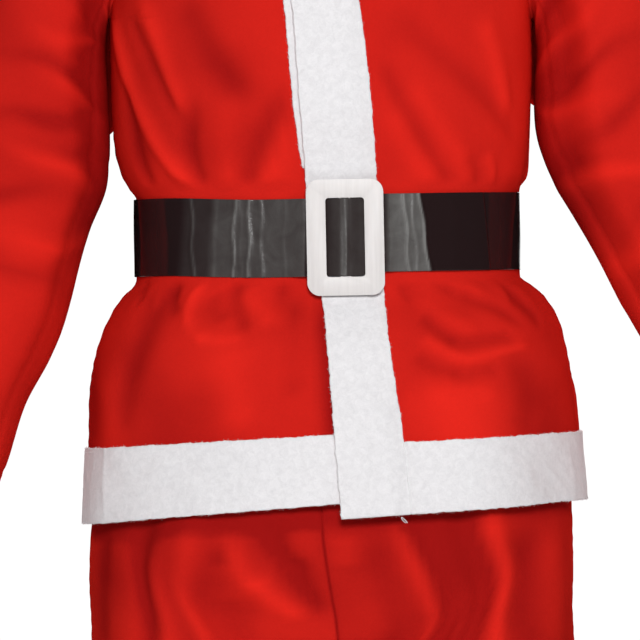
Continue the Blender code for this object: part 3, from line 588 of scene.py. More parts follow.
def lapped_point(angle, level):
    """Outer face of the left front, lifted where it laps over the right one."""
    base = jacket_point(angle, level)
    left, right, _ = smooth_rows(FRONT_EDGES, base[..., 2])
    middle = left + (right - left) * LAP_MIDDLE
    height = np.interp(base[..., 2], LAP_LIFT[:, 0], LAP_LIFT[:, 1])
    fade = 1 - ramp(base[..., 0] - middle, LAP_FLAT, LAP_RAMP)
    return base + surface_normal(jacket_point, angle, level) * (height * fade)[..., None]


def armhole_angle(level):
    """Angle of the panels' outer edge: the side seam, then the armhole."""
    t = np.clip((np.asarray(level, float) - CHEST_Z) / SHOULDER_ARC, 0, 1)
    open_part = np.sqrt(1 - (1 - t) ** 4)
    degrees = 90 - (90 - ARMHOLE_TOP) * open_part - ARMHOLE_DIP * np.sin(math.pi * t)
    return np.radians(degrees)


def top_level(angle, drop):
    """Top level of a panel: the round neckline near the middle, else the shoulder seam."""
    round_neck = np.sqrt(np.clip(1 - (angle / NECK_ANGLE) ** 2, 0, 1))
    lowest = math.asin((-drop - CHEST_Z) / -CHEST_Z)
    rise = np.arccos(np.maximum(math.cos(lowest) * round_neck, SEAM_EDGE))
    return CHEST_Z + rise / (math.pi / 2) * SHOULDER_ARC


def real_level(base, angle, drop, edge_drop=0.0):
    """A row's level at an angle, with the hem's tilt and the top edge's shape."""
    weight = np.clip((BELT_BOTTOM - base) / (BELT_BOTTOM - HEM_Z), 0, 1)
    sag = edge_drop * np.clip(1 - np.abs(angle) / EDGE_DROP_TURN, 0, 1)
    low = base + weight * (HEM_TILT * np.sin(angle) - sag)
    from_middle = angle - math.pi * np.round(angle / math.pi)
    high = CHEST_Z + (top_level(from_middle, drop) - CHEST_Z) * (base - CHEST_Z) / SHOULDER_ARC
    return np.where(base <= CHEST_Z, low, high)


def edge_height(level):
    """Height of a front's edge row, for reading the edge table."""
    rise = np.clip((level - CHEST_Z) / SHOULDER_ARC, 0, 1) * math.pi / 2
    return np.where(level <= CHEST_Z, level,
                    np.minimum(CHEST_Z - np.sin(rise) * CHEST_Z, -NECK_DROP_FRONT))


# ---- cloth walls ----
BAND_COLUMNS, STRIP_COLUMNS, CENTRE_COLUMNS = 12, 8, 6
FRONT_COLUMNS, NECK_COLUMNS = 64, 22
LOWER_ROWS, YOKE_ROWS, BAND_ROWS = 124, 44, 44
ROW_BUNCHING = 1.25  # rows closer towards chest and armhole
HEM_LINES = np.array([0, 0.0008, 0.002])  # closer rows at a jacket panel's hem
SEAM_STATIONS = np.array([0.016, 0.009, 0.004, 0.0])  # closer columns at a sewn side
FIRST_COLUMN = 0.02  # share of the width where the even ones begin
LAST_READ = 0.55  # of the yoke's height, above which edges keep their angles
SLEEVE_TURNS = 56  # columns on each half of a sleeve
CAP_ROWS, SLEEVE_ROWS = 26, 84
TROUSER_ROWS, TROUSER_COLUMNS = 170, 46
FULL_FOLD, DEEPEST_FOLD = 0.0036, -1.7  # fold height where the painted shade is palest, share where darkest
WALLS = {}  # outer and inner grids by piece, for its sewing
ROLL, ROLL_WIDTH = 0.0012, 0.0024  # how a panel rolls in beside a sewn edge
PUCKER, PUCKER_PITCH, PUCKER_REACH = 0.00045, 0.014, 0.011
FOLDED_HEM, FOLDED_HEM_WIDTH = 0.0009, 0.003  # dip along the stitches of a turned hem
# wave length and share of the uneven run of a cut or sewn line
WOBBLE_WAVES = ((0.031, 0.8), (0.0142, 0.6), (0.0077, 0.55), (0.0046, 0.5), (0.0029, 0.35))


def wobble(along, seed, size=1.0):
    """Uneven run of a cut or sewn line, about one either way."""
    total = sum(share * np.sin(2 * math.pi * along / (length * size) + seed * (k + 1.7)
                               + 1.4 * math.sin(k + seed) * np.sin(along * (31 + 17 * k)))
                for k, (length, share) in enumerate(WOBBLE_WAVES))
    return total / 1.6


def row_levels():
    """Levels of the jacket's rows, closer together at the hem and shoulder."""
    lower = np.linspace(PANEL_HEM + 0.004, CHEST_Z, LOWER_ROWS)
    upper = CHEST_Z + (np.arange(1, YOKE_ROWS + 1) / YOKE_ROWS) ** ROW_BUNCHING * SHOULDER_ARC
    return np.concatenate([PANEL_HEM + HEM_LINES, lower, upper])


def spread(start, stop, shares):
    """Rows of values from start to stop at the same shares."""
    return start[:, None] + (stop - start)[:, None] * shares[None, :]


def side_limit(levels):
    """Angle of a panel's side, half a seam's gap short of the next panel."""
    return np.minimum(armhole_angle(levels), math.pi / 2 - GAP / 2 / SIDE_RADIUS)


def outer_angles(start, levels):
    """A front's columns outwards from its band, one of them at the neck corner."""
    first = np.arcsin(start / NECK_ANGLE)
    shares = np.linspace(0, 1, CENTRE_COLUMNS + 1)[1:]
    centre = NECK_ANGLE * np.sin(spread(first, np.full(len(start), math.pi / 2), shares))
    shares = np.concatenate([np.linspace(0, 1 - FIRST_COLUMN, FRONT_COLUMNS)[1:], 1 - SEAM_STATIONS])
    side = spread(np.full(len(levels), NECK_ANGLE), side_limit(levels), shares)
    return np.concatenate([centre, side], axis=1)


def band_edges(levels):
    """Angles of the left front's edge, its band's far edge, the under edge and strip."""
    left, right, strip = smooth_rows(FRONT_EDGES, edge_height(levels))
    read = np.minimum(levels, CHEST_Z + LAST_READ * SHOULDER_ARC)
    under = left + (right - left) * LAP_MIDDLE
    return tuple(angle_at(x, read) for x in (left, right, under, strip))


def left_front_angles(levels):
    """The left front's columns, from its lapped edge outwards."""
    start, stop, _, _ = band_edges(levels)
    band = spread(start + HIDDEN_EDGE, stop, np.linspace(0, 1, BAND_COLUMNS + 1))
    return np.concatenate([band, outer_angles(stop, levels)], axis=1)


def right_front_angles(levels):
    """The right front's columns, from its under edge outwards."""
    _, _, start, stop = band_edges(levels)
    lap = spread(start, stop, np.linspace(0, 1, STRIP_COLUMNS + 1))
    return np.concatenate([lap, -outer_angles(-stop, levels)], axis=1)


def back_angles(levels):
    """The back's columns from side to side, with one at each neck corner."""
    shares = np.concatenate([SEAM_STATIONS[::-1], np.linspace(FIRST_COLUMN, 1, FRONT_COLUMNS)])
    outside = spread(side_limit(levels), np.full(len(levels), NECK_ANGLE), shares)
    neck = NECK_ANGLE * np.cos(np.linspace(0, math.pi, NECK_COLUMNS + 1)[1:-1])
    neck = np.broadcast_to(neck, (len(levels), len(neck)))
    return math.pi - np.concatenate([outside, neck, -outside[:, ::-1]], axis=1)


def reach(points, axis, from_end=False):
    """Distance along a grid from its first or last line."""
    steps = np.linalg.norm(np.diff(points, axis=axis), axis=-1)
    if from_end:
        steps = np.flip(steps, axis)
    total = np.cumsum(steps, axis=axis)
    total = np.concatenate([np.zeros_like(np.take(total, [0], axis)), total], axis=axis)
    return np.flip(total, axis) if from_end else total


def tuck(distance, along, seed):
    """How a panel rolls in and puckers beside a sewn edge."""
    wave = np.sin(along * 2 * math.pi / PUCKER_PITCH + 1.7 * np.sin(along * 83 + seed) + seed)
    return PUCKER * wave * np.exp(-distance / PUCKER_REACH) - ROLL * bell(distance, ROLL_WIDTH)


def placed(name, data):
    """An object of the scene made from mesh, curve, light or camera data."""
    item = bpy.data.objects.new(name, data)
    bpy.context.scene.collection.objects.link(item)
    return item


def mark(data, name, values):
    """Store one number for each point of a mesh, for its material."""
    layer = data.attributes.new(name, "FLOAT", "POINT")
    layer.data.foreach_set("value", values.astype(np.float32))


def open_edges(outer, front, closed):
    """Point numbers round each open edge of a grid, and the way out of the cloth there."""
    if closed:
        return [(front[0], outer[0] - outer[1]), (front[-1, ::-1], (outer[-1] - outer[-2])[::-1])]
    away = np.zeros_like(outer)
    away[0] += unit(outer[0] - outer[1])
    away[-1] += unit(outer[-1] - outer[-2])
    away[:, 0] += unit(outer[:, 0] - outer[:, 1])
    away[:, -1] += unit(outer[:, -1] - outer[:, -2])
    ring = np.concatenate([front[0, :-1], front[:-1, -1], front[-1, :0:-1], front[:0:-1, 0]])
    return [(ring, away.reshape(-1, 3)[ring])]


def wall_object(name, outer, inner, along, material, closed=False, bulge=0.32, fold_shade=None):
    """A cloth wall between two grids, with a rounded edge; along is its UV in metres.

    The edge's middle line stands out by bulge times the wall's thickness, and fold is the
    height above the smooth surface that the colour's painted shade follows: paler where high,
    darker where low.
    """
    WALLS[name] = outer, inner
    rows, columns = outer.shape[:2]
    front = np.arange(rows * columns).reshape(rows, columns)
    far = rows * columns
    after = np.roll(front, -1, axis=1)
    last = columns if closed else columns - 1
    face = np.stack([front[:-1, :last], after[:-1, :last], after[1:, :last], front[1:, :last]], -1)
    face = face.reshape(-1, 4)
    points = [outer.reshape(-1, 3), inner.reshape(-1, 3)]
    flat = along.reshape(-1, 2)
    uv, cut = [flat, flat], [np.zeros(far * 2)]
    shade_share = np.zeros(far) if fold_shade is None else np.clip(fold_shade / FULL_FOLD, DEEPEST_FOLD, 1).ravel()
    faces = [face, face[:, ::-1] + far]
    base = far * 2
    for ring, way in open_edges(outer, front, closed):
        a, b = points[0][ring], points[1][ring]
        thick = np.linalg.norm(a - b, axis=1, keepdims=True)
        points.append((a + b) / 2 + unit(way) * thick * bulge)
        uv.append(flat[ring])
        cut.append(np.ones(len(ring)))
        middle = base + np.arange(len(ring))
        following, ahead = np.roll(middle, -1), np.roll(ring, -1)
        faces.append(np.stack([ahead, ring, middle, following], -1))
        faces.append(np.stack([following, middle, ring + far, ahead + far], -1))
        base += len(ring)
    points, uv, faces = np.concatenate(points), np.concatenate(uv), np.concatenate(faces)
    corner = points[face]
    across = np.cross(corner[:, 1] - corner[:, 0], corner[:, 3] - corner[:, 0])
    outward = (outer - inner).reshape(-1, 3)[face[:, 0]]
    if np.sum(across * outward) < 0:
        faces = faces[:, ::-1]
    data = bpy.data.meshes.new(name)
    data.from_pydata(points.tolist(), [], faces.tolist())
    layer = data.uv_layers.new(name="UVMap")
    loops = np.empty(len(data.loops), dtype=np.int32)
    data.loops.foreach_get("vertex_index", loops)
    layer.data.foreach_set("uv", uv[loops].astype(np.float32).ravel())
    mark(data, "cut_edge", np.concatenate(cut))
    # painted shade: the red felt's colour is paler where this fold height is high, darker where low
    mark(data, "fold_shade", np.pad(shade_share, (0, len(points) - far)))
    data.shade_smooth()
    data.materials.append(material)
    return placed("fine_" + name, data)


def declare(item, node, slot, **facts):
    """Put a finished piece on the frame in place of its CAD node."""
    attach(item, "root")
    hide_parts(node)


def declare_worn(item, node, cut):
    """Put a red piece, which drapes from the wearer, on the frame; its cut and area are not used."""
    flat, area = cut
    declare(item, node, "red_felt", flat=flat, area=area, held="draped", rests_on=("wearer",))


# ---- jacket ----
def panel_grid(name):
    """Points, normals, angles and levels of one jacket panel's outer face."""
    edges, drop, edge_drop, surface = {
        "jacket_front_left": (left_front_angles, NECK_DROP_FRONT, LEFT_EDGE_DROP, lapped_point),
        "jacket_front_right": (right_front_angles, NECK_DROP_FRONT, RIGHT_EDGE_DROP, jacket_point),
        "jacket_back": (back_angles, NECK_DROP_BACK, 0.0, jacket_point),
    }[name]
    rows = row_levels()
    angles = edges(rows)
    levels = real_level(rows[:, None], angles, drop, edge_drop)
    return surface(angles, levels), surface_normal(surface, angles, levels), angles, levels


# Painted shade: how far it raises or lowers the fold height that the colour's painted shade
# follows, then the ramps that bound it, each along x or up the level, with its start and run.
PANEL_SHADE = {
    "jacket_front_right": (
        (-0.0036, (("x", -0.120, -0.05), ("level", -0.50, -0.05))),
        (-0.0022, (("level", -0.37, 0.03), ("level", -0.235, -0.04),
                   ("x", -0.050, -0.04), ("x", -0.185, 0.02))),
    ),
    "jacket_front_left": (
        (0.0032, (("x", 0.12, 0.05), ("level", BELT_TOP, 0.02))),
    ),
}
LAP_SHADE, LAP_SHADE_WIDTH, LAP_SHADE_RUN = 0.0062, 0.008, -0.05  # painted shadow beside the front band's edge


def panel_shade(name, x, angles, levels):
    """Painted shade of a jacket panel, as a change of fold height."""
    places = {"x": x, "level": levels}
    total = np.zeros(levels.shape)
    for amount, bounds in PANEL_SHADE.get(name, ()):
        total = total + amount * math.prod(
            (ramp(places[way], start, run) for way, start, run in bounds), start=1.0)
    if name == "jacket_front_right":
        start = band_edges(levels[:, 0])[0][:, None]
        lap = bell((angles - start) * CLOTH_RADIUS, LAP_SHADE_WIDTH)
        total = total - LAP_SHADE * lap * ramp(levels, BELT_BOTTOM, LAP_SHADE_RUN)
    return total


def build_panel(name, material):
    """One jacket panel with its sewn edges tucked in."""
    points, normals, angles, levels = panel_grid(name)
    along = np.stack([angles * CLOTH_RADIUS, levels], -1)
    far_side = reach(points, 1, from_end=True)
    shoulder = reach(points, 0, from_end=True)
    dip = tuck(far_side, levels, 1.0) + tuck(shoulder, angles * CLOTH_RADIUS, 2.0)
    if name == "jacket_back":
        dip = dip + tuck(reach(points, 1), levels, 3.0)
    points = points + normals * dip[..., None]
    # painted shade: creases, gathers and the panel's painted shade set how pale or dark the felt is
    fold_shade = jacket_creases(angles, levels) + panel_shade(name, points[..., 0], angles, levels)
    return wall_object(name, points, points - CLOTH * normals, along, material, fold_shade=fold_shade)


FELT_LUMPS, FELT_CURL, FELT_DIP = 0.0005, 0.0003, 0.0004
LUMP_SIZES = ((0.034, 1), (0.016, 0.45), (0.009, 0.30))  # size and share
LUMP_EDGE, CURL_REACH = 0.003, 0.004  # relief fades this near an edge, curl this far in
BAND_WOBBLE, STRIP_WOBBLE = (0.00028, 0.0003), 0.00025  # unevenness of the cut edges
HEM_TOP_WOBBLE, HEM_EDGE_WOBBLE, HEM_WOBBLE_SHARE = 0.00048, 0.0004, 0.2
HEM_JOIN = 0.0004  # the left hem band starts beside the front band


def lumps(across, level, seed):
    """Low uneven relief of thick white felt."""
    (coarse, _), (middle, middle_share), (small, small_share) = LUMP_SIZES
    fine = middle_share * ripple(across, level, seed, middle)
    fine = fine + small_share * ripple(level, across, seed + 2, small)
    return FELT_LUMPS * (ripple(across, level, seed + 1, coarse) + fine)


def lay_on(name, surface, angles, levels, material, seed, creases=()):
    """A felt strip laid on the jacket, following its surface at a seam gap."""
    points, normals = surface(angles, levels), surface_normal(surface, angles, levels)
    across = angles * CLOTH_RADIUS
    from_edge = np.minimum(np.minimum(reach(points, 1), reach(points, 1, True)),
                           np.minimum(reach(points, 0), reach(points, 0, True)))
    relief = lumps(across, levels, seed) * ease(from_edge / LUMP_EDGE)
    if len(creases):
        relief = relief + line_creases(across, levels, np.array(creases))
    uneven = 1 + 0.5 * wobble(across + levels, seed, 1.6)
    curl = FELT_CURL * np.exp(-from_edge / CURL_REACH) * uneven
    lift = GAP + np.maximum(relief, -FELT_DIP) + curl
    inner = points + normals * (GAP + curl)[..., None]
    outer = points + normals * (CLOTH + lift)[..., None]
    along = np.stack([across, levels], -1)
    return wall_object(name, outer, inner, along, material)


def fine_shares(count, edge):
    """Even shares from 0 to 1 with two closer ones at each end."""
    closer = [edge, 2.4 * edge, 1 - 2.4 * edge, 1 - edge]
    return np.unique(np.concatenate([np.linspace(0, 1, count), closer]))


def edge_levels(bottom, lower_rows, yoke_rows):
    """Levels up a front edge, from a bottom over the chest to the neck."""
    yoke = CHEST_Z + np.linspace(0.003, SHOULDER_ARC, yoke_rows)
    return np.concatenate([np.linspace(bottom, CHEST_Z, lower_rows), yoke])


def build_front_band(material):
    """The white band down the left front's edge, from hem to neck."""
    height = edge_levels(HEM_Z, 250, 70)
    left, right, _, _ = band_edges(height)
    left = left + BAND_WOBBLE[0] * wobble(height, 1.3) / BAND_RADIUS
    right = right + BAND_WOBBLE[1] * wobble(height, 4.1) / BAND_RADIUS
    angles = spread(left, right, fine_shares(36, 0.012))
    levels = real_level(height[:, None], angles, NECK_DROP_FRONT, LEFT_EDGE_DROP)
    return lay_on("front_band", lapped_point, angles, levels, material, 5.0, BAND_CREASES)


def build_under_band(material):
    """The white strip on the right front's edge, seen above the belt."""
    height = edge_levels(STRIP_START, 64, 62)
    _, _, start, stop = band_edges(height)
    stop = stop + STRIP_WOBBLE * wobble(height, 2.2) / BAND_RADIUS
    angles = spread(start, stop, fine_shares(26, 0.02))
    levels = real_level(height[:, None], angles, NECK_DROP_FRONT, 0.0)
    return lay_on("under_band", jacket_point, angles, levels, material, 9.0)


def build_hem_band(name, material):
    """The white band round the hem, one length for each panel."""
    rise = fine_shares(BAND_ROWS, 0.012)
    base = HEM_Z + rise * (BAND_TOP - HEM_Z)
    side = side_limit(base)
    left, right, under, _ = band_edges(base)
    start, stop, count, surface, drop = {
        "hem_band_left": (right + HEM_JOIN / BAND_RADIUS, side, 150, lapped_point, LEFT_EDGE_DROP),
        "hem_band_right": (under, -side, 170, jacket_point, RIGHT_EDGE_DROP),
        "hem_band_back": (math.pi - side, math.pi + side, 300, jacket_point, 0.0),
    }[name]
    angles = spread(start, stop, fine_shares(count, 0.005))
    levels = real_level(base[:, None], angles, NECK_DROP_FRONT, drop)
    across, rise = angles * CLOTH_RADIUS, rise[:, None]
    near_top = ramp(rise, 1 - HEM_WOBBLE_SHARE, HEM_WOBBLE_SHARE)
    near_edge = ramp(rise, HEM_WOBBLE_SHARE, -HEM_WOBBLE_SHARE)
    levels = levels + HEM_TOP_WOBBLE * wobble(across, 6.0) * near_top
    levels = levels - HEM_EDGE_WOBBLE * wobble(across, 3.0, 0.6) * near_edge
    seed = len(name) * 1.3
    return lay_on(name, surface, angles, levels, material, seed, HEM_CREASES[name])


# ---- sleeves ----
CAP_OUTWARDS, CAP_MEETS = 0.7, 0.35  # bend away from the body, ring that gives the way it meets
UNDERARM_WAY = (1, 0, -0.35)  # how the cap leaves the lowest point of the armhole
CAP_SPEEDS = ((0.020, 0.035), (0.050, 0.050))  # of the cap's curve at the underarm, and more on top
SLEEVE_RADIUS = 0.06  # turns a turn round the sleeve into cloth width
SLEEVE_HEM_LINE, SLEEVE_END_ROW = 0.022, 0.006  # stitches, and a closer row, above the end
SLEEVE_CONTRAST = 1.3  # its creases are shaded this much stronger
SLEEVE_SLACK, SEAM_RADIUS, SEAM_DEPTH = 0.0011, 0.058, 1.15
# the part pressed on the jacket's side: clearance, most it moves, share, and its turns
PRESS_CLEAR, PRESS_MOST, PRESS_SHARE = 0.002, 0.034, 0.92
PRESS_TURN, PRESS_SPREAD, PRESS_RAMP = math.radians(305), math.radians(46), 0.030
CAP_CALM = 0.030  # relief grows over this length from the armhole
# the hollow of a sleeve's inner front: softness of its edge and of its start in turn, the levels
# (start, run) where it begins and where it narrows, and how far from the armhole it is full
HOLLOW_SOFT, HOLLOW_START, HOLLOW_CALM = 0.42, 0.5, 0.040
HOLLOW_LEVELS, HOLLOW_NARROWS = (-0.62, 0.12), (-0.24, -0.17)

# Painted shade by side (-1 right, 1 left): the hollow's depth, the middle's, and how far the
# hollow's edge is turned outwards.
HOLLOW_SHADE, HOLLOW_SHADE_LEVELS = {-1: 1.6, 1: 1.35}, (-0.47, 0.08)
MIDDLE_SHADE, MIDDLE_LEVELS = {-1: 0.0026, 1: 0.0007}, (-0.43, 0.07)
UPPER_SHADE, UPPER_LEVELS = 0.35, (-0.215, -0.05)  # share of it near the shoulder
HOLLOW_EDGE = {-1: 0.0, 1: 0.20}


def armhole_loop():
    """Angles and levels round the armhole, from the underarm up the front."""
    rise = (np.arange(SLEEVE_TURNS + 1) / SLEEVE_TURNS) ** ROW_BUNCHING
    levels = np.concatenate([rise, rise[-2:0:-1]]) * SHOULDER_ARC + CHEST_Z
    angles = armhole_angle(levels)
    angles[len(rise):] = math.pi - angles[len(rise):]
    return angles, levels


def sleeve_rings(table, side, turn, rows):
    """Rings of the sleeve at rows of its table, as rows by turns of points."""
    inner_x, inner_z, width, tilt, depth, centre_y = smooth_rows(
        np.column_stack([np.arange(len(table)), table]), rows)
    tilt = np.radians(tilt)
    inner = np.stack([inner_x, centre_y, inner_z], -1)
    way = np.stack([side * np.cos(tilt), np.zeros_like(tilt), np.sin(tilt)], -1)
    outer = inner + width[:, None] * way
    middle, half = (inner + outer) / 2, (outer - inner) / 2
    shape = full(turn)
    points = middle[:, None] - half[:, None] * (np.cos(turn) * shape)[None, :, None]
    points[..., 1] -= depth[:, None] / 2 * (np.sin(turn) * shape)[None, :]
    return points


def sleeve_relief(turn, way, table):
    """Wrinkles across a sleeve, each over part of its turn."""
    total = np.zeros(np.broadcast(turn, way).shape)
    for at, place, slant, arc, half_width, depth in table:
        off = half_turn(turn - math.radians(at))
        line = place + slant * off + 0.004 * np.sin(off * 5 + at)
        total = total + depth * bell(off, math.radians(arc)) * bell(way - line, half_width)
    return total


def press_on_side(points, turn, side):
    """Tuck a sleeve's inner back behind the jacket's side, down to where they part."""
    x, y, z = points[..., 0], points[..., 1], points[..., 2]
    half, front, back, centre = smooth_rows(JACKET_RINGS, np.minimum(z, CHEST_Z))
    share = np.clip(y / np.where(y < 0, -front, back), -0.98, 0.98) ** 2
    wall = half * np.sqrt(1 - share) * (1 + FULLNESS * 4 * share * (1 - share)) + side * centre
    room = np.maximum(side * x - wall - PRESS_CLEAR, 0)
    near = bell(turn - PRESS_TURN, PRESS_SPREAD)
    levels = ramp(z, PRESS_END[side], PRESS_RAMP) * ease(reach(points, 0) / PRESS_RAMP)
    moved = points.copy()
    moved[..., 0] -= side * np.minimum(room, PRESS_MOST) * PRESS_SHARE * near[None, :] * levels
    return moved


def sleeve_surface(table, side, turn):
    """Smooth rings of a whole sleeve: a cap bent from the armhole, then down the arm."""
    angles, levels = armhole_loop()
    start = jacket_point(side * angles, levels)
    normal = surface_normal(jacket_point, side * angles, levels)
    loop_way = unit(np.roll(start, -1, axis=0) - np.roll(start, 1, axis=0))
    away = unit(np.cross(loop_way, normal)) * side
    away[SLEEVE_TURNS] = np.array(UNDERARM_WAY) * (side, 1, 1)
    start = start + ARMHOLE_GAP * unit(away)
    leave = unit(away + np.array([side * CAP_OUTWARDS, 0, 0]))
    first, second = sleeve_rings(table, side, turn, np.array([0.0, CAP_MEETS]))
    up_share = (1 - np.cos(turn)) / 2
    leave_speed, arrive_speed = ((low + more * up_share)[:, None] for low, more in CAP_SPEEDS)
    t = (np.linspace(0, 1, CAP_ROWS + 1)[:-1] ** ROW_BUNCHING)[:, None, None]
    cap = hermite(t, start, leave_speed * leave, first, arrive_speed * unit(second - first))
    last = len(table) - 1
    down = np.concatenate([np.linspace(0, last, SLEEVE_ROWS)[:-1], [last - SLEEVE_END_ROW, last]])
    points = np.concatenate([cap, sleeve_rings(table, side, turn, down)])
    across = np.roll(points, -1, axis=1) - np.roll(points, 1, axis=1)
    facing = unit(np.cross(np.gradient(points, axis=0), across)) * side
    facing[0] = normal
    return points, facing


def sleeve_hollow(points, signed, side):
    """Share of the hollow along the sleeve's inner front, from 0 to 1."""
    height = points[..., 2]
    narrowed = (HOLLOW_TURN[0] - HOLLOW_TURN[1]) * ramp(height, *HOLLOW_NARROWS)
    inner_side = HOLLOW_TURN[0] + HOLLOW_EDGE[side] - narrowed
    share = ease((inner_side - signed) / HOLLOW_SOFT + 0.5)
    share = share * ramp(signed, -HOLLOW_START, HOLLOW_START)
    return share * ramp(height, *HOLLOW_LEVELS) * ease(reach(points, 0) / HOLLOW_CALM)


def sleeve_shade(height, hollow, side):
    """Painted shade of a sleeve, as a change of fold height: in its hollow and its middle."""
    deep = FULL_FOLD * HOLLOW_SHADE[side] * hollow * ramp(height, *HOLLOW_SHADE_LEVELS)
    upper = UPPER_SHADE + (1 - UPPER_SHADE) * ramp(height, *UPPER_LEVELS)
    return -deep - MIDDLE_SHADE[side] * ramp(height, *MIDDLE_LEVELS) * upper


def build_sleeve(name, table, creases, side, material):
    """A wrinkled sleeve, hollow along its inner front and pressed on the jacket's side."""
    count = 2 * SLEEVE_TURNS
    turn = 2 * math.pi * np.arange(count) / count
    points, facing = sleeve_surface(table, side, turn)
    points = press_on_side(points, turn, side)
    turn, signed = turn[None, :], half_turn(turn)[None, :]
    way = reach(points, 0).mean(axis=1)[:, None]
    relief = sleeve_relief(turn, way, creases)
    relief = relief + SLEEVE_SLACK * ripple(turn * SLEEVE_RADIUS, way, 4.0 + side)
    hollow = sleeve_hollow(points, signed, side)
    points[..., 1] += HOLLOW_DEPTH * hollow * np.sin(np.clip(signed, 0, None))
    # painted shade: creases shaded stronger, the hollow and the middle of the sleeve darker
    fold_shade = relief * SLEEVE_CONTRAST + sleeve_shade(points[..., 2], hollow, side)
    off_seam = np.abs(turn - SLEEVE_SEAM_TURN) * SEAM_RADIUS
    relief = relief + SEAM_DEPTH * tuck(off_seam, way, 5.0)
    from_cap, hem = reach(points, 0), reach(points, 0, from_end=True)
    relief = relief * ease(from_cap / CAP_CALM) + tuck(from_cap, turn * SLEEVE_RADIUS, 6.0)
    relief = relief - FOLDED_HEM * bell(hem - SLEEVE_HEM_LINE, FOLDED_HEM_WIDTH)
    points = points + facing * relief[..., None]
    along = np.stack(np.broadcast_arrays(turn * SLEEVE_RADIUS, -way), -1)
    inner = points - CLOTH * facing
    return wall_object(name, points, inner, along, material, closed=True, fold_shade=fold_shade)


# ---- trousers ----
LEG_CREASE_SHIFT, LEG_CREASE_DROP = 0.07, 0.006  # one leg's creases against the other's
TROUSER_SLACK, SLACK_TOP, SLACK_TOP_RUN = 0.0013, -0.585, -0.06
SEAM_CALM, SEAM_CALM_SHARE = 0.06, 0.35  # relief is lower beside a trouser seam
TROUSER_HEM_LINES = np.array([0, 0.0008])  # closer rows at the hem
TROUSER_HEM_STITCH = 0.024
CLOSER_SHARES = [0, 0.007, 0.02]  # closer columns at both seams
# Painted shade, as fold height: all over, in the seams, then on the fronts the paler middle,
# the shade towards the side seam and a darker strip down the thigh.
TROUSER_TONE, SEAM_SHADE, SEAM_SHADE_WIDTH = 0.001, 0.006, 0.0014
FRONT_TONE, SIDE_SHADE, SIDE_SHADE_RUN = 0.002, 0.0036, 0.25
SIDE_SHADE_LOW, SIDE_SHADE_LEVELS = {-1: 0.45, 1: 0.0}, (-0.715, -0.06)  # less lower down
THIGH_SHADE, THIGH_PLACE, THIGH_WIDTH = 0.0032, {-1: 0.56, 1: 0.70}, 0.13
# painted shadow under the jacket's hem: depth, the hem's level and slope along x, where it starts, its run
HEM_SHADE, HEM_LINE, HEM_LINE_SLOPE = {-1: 0.0055, 1: 0.0026}, -0.6675, 0.052
HEM_SHADE_START, HEM_SHADE_RUN = 0.019, 0.014


def trouser_creases(share, level, side, front):
    """Creases, crotch pulls and slack of a trouser panel."""
    name = ("front" if front else "back", "left" if side > 0 else "right")
    rows = TROUSER_CREASES[name] * (PANEL_WIDTH, 1, PANEL_WIDTH, 1, 1, 1)
    total = line_creases(share * PANEL_WIDTH, level, rows)
    for place, height, slant, arc, half_width, depth in LEG_CREASES:
        off = share - (place + LEG_CREASE_SHIFT * side * (1 if front else -1))
        line = height + LEG_CREASE_DROP * side + slant * off + 0.004 * np.sin(off * 16 + place * 9)
        total = total + depth * bell(off, arc) * bell(level - line, half_width)
    slack = ripple(share * PANEL_WIDTH, level, 1.5 + side + 2 * front)
    return (total + TROUSER_SLACK * slack) * ramp(level, SLACK_TOP, SLACK_TOP_RUN)


def trouser_surface(share, level, side, front):
    """Smooth outer face of a trouser panel: share 0 at the side seam, 1 at the middle."""
    share, level = np.broadcast_arrays(np.asarray(share, float), np.asarray(level, float))
    half, front_depth, back_depth, centre = smooth_rows(TROUSER_RINGS, level)
    inner_x, outer_x, leg_front, leg_back = smooth_rows(LEG_RINGS, level)
    depth = front_depth if front else back_depth
    way = -1 if front else 1
    angle = math.pi / 2 * (1 - share)
    hip_x = side * half * np.sin(angle) * full(angle)
    hip_y = way * depth * np.cos(angle) * full(angle)
    leg_angle = math.pi / 2 - math.pi * share
    half_leg = (outer_x - inner_x) / 2
    leg_x = side * ((outer_x + inner_x) / 2 + half_leg * np.sin(leg_angle) * full(leg_angle))
    leg_y = way * (leg_front if front else leg_back) * np.cos(leg_angle) * full(leg_angle)
    start = SIDE_START + (RISE_START - SIDE_START) * ease(share)
    mix = ease((start - level) / (start - LEG_START))
    swell = 1 + RISE_SWELL * 4 * mix * (1 - mix)
    x = hip_x * (1 - mix) + leg_x * mix + centre
    fall = CROTCH_FALL["front" if front else "back"] * ramp(share, *MIDDLE_SHARES)
    fall = fall * ramp(level, CROTCH_FALL_TOP, CROTCH_FALL_RUN)
    y = (hip_y * (1 - fall) * (1 - mix) + leg_y * mix) * swell
    if front:
        lean = np.interp(level, SEAM_LEAN[:, 0], SEAM_LEAN[:, 1])
        x = x + lean * ramp(share, *LEAN_SHARES)
    return np.stack([x, y, level], axis=-1)


def trouser_normals(share, level, side, front):
    """Outward directions of a trouser panel's smooth face."""
    step = SMALL_STEP * 10
    across = (trouser_surface(share + step, level, side, front)
              - trouser_surface(share - step, level, side, front))
    up = (trouser_surface(share, level + step, side, front)
          - trouser_surface(share, level - step, side, front))
    return unit(np.cross(across, up)) * (-side if front else side)


def front_thigh_shade(share, level, x, side):
    """Painted shade of a front trouser panel, as a change of fold height."""
    low = ramp(level, *SIDE_SHADE_LEVELS) * SIDE_SHADE_LOW[side]
    total = FRONT_TONE - SIDE_SHADE * ease(share / SIDE_SHADE_RUN) * (1 - low)
    total = total - THIGH_SHADE * bell(share - THIGH_PLACE[side], THIGH_WIDTH)
    hem = HEM_LINE + HEM_LINE_SLOPE * x - HEM_SHADE_START
    return total - HEM_SHADE[side] * ramp(level, hem, HEM_SHADE_RUN)


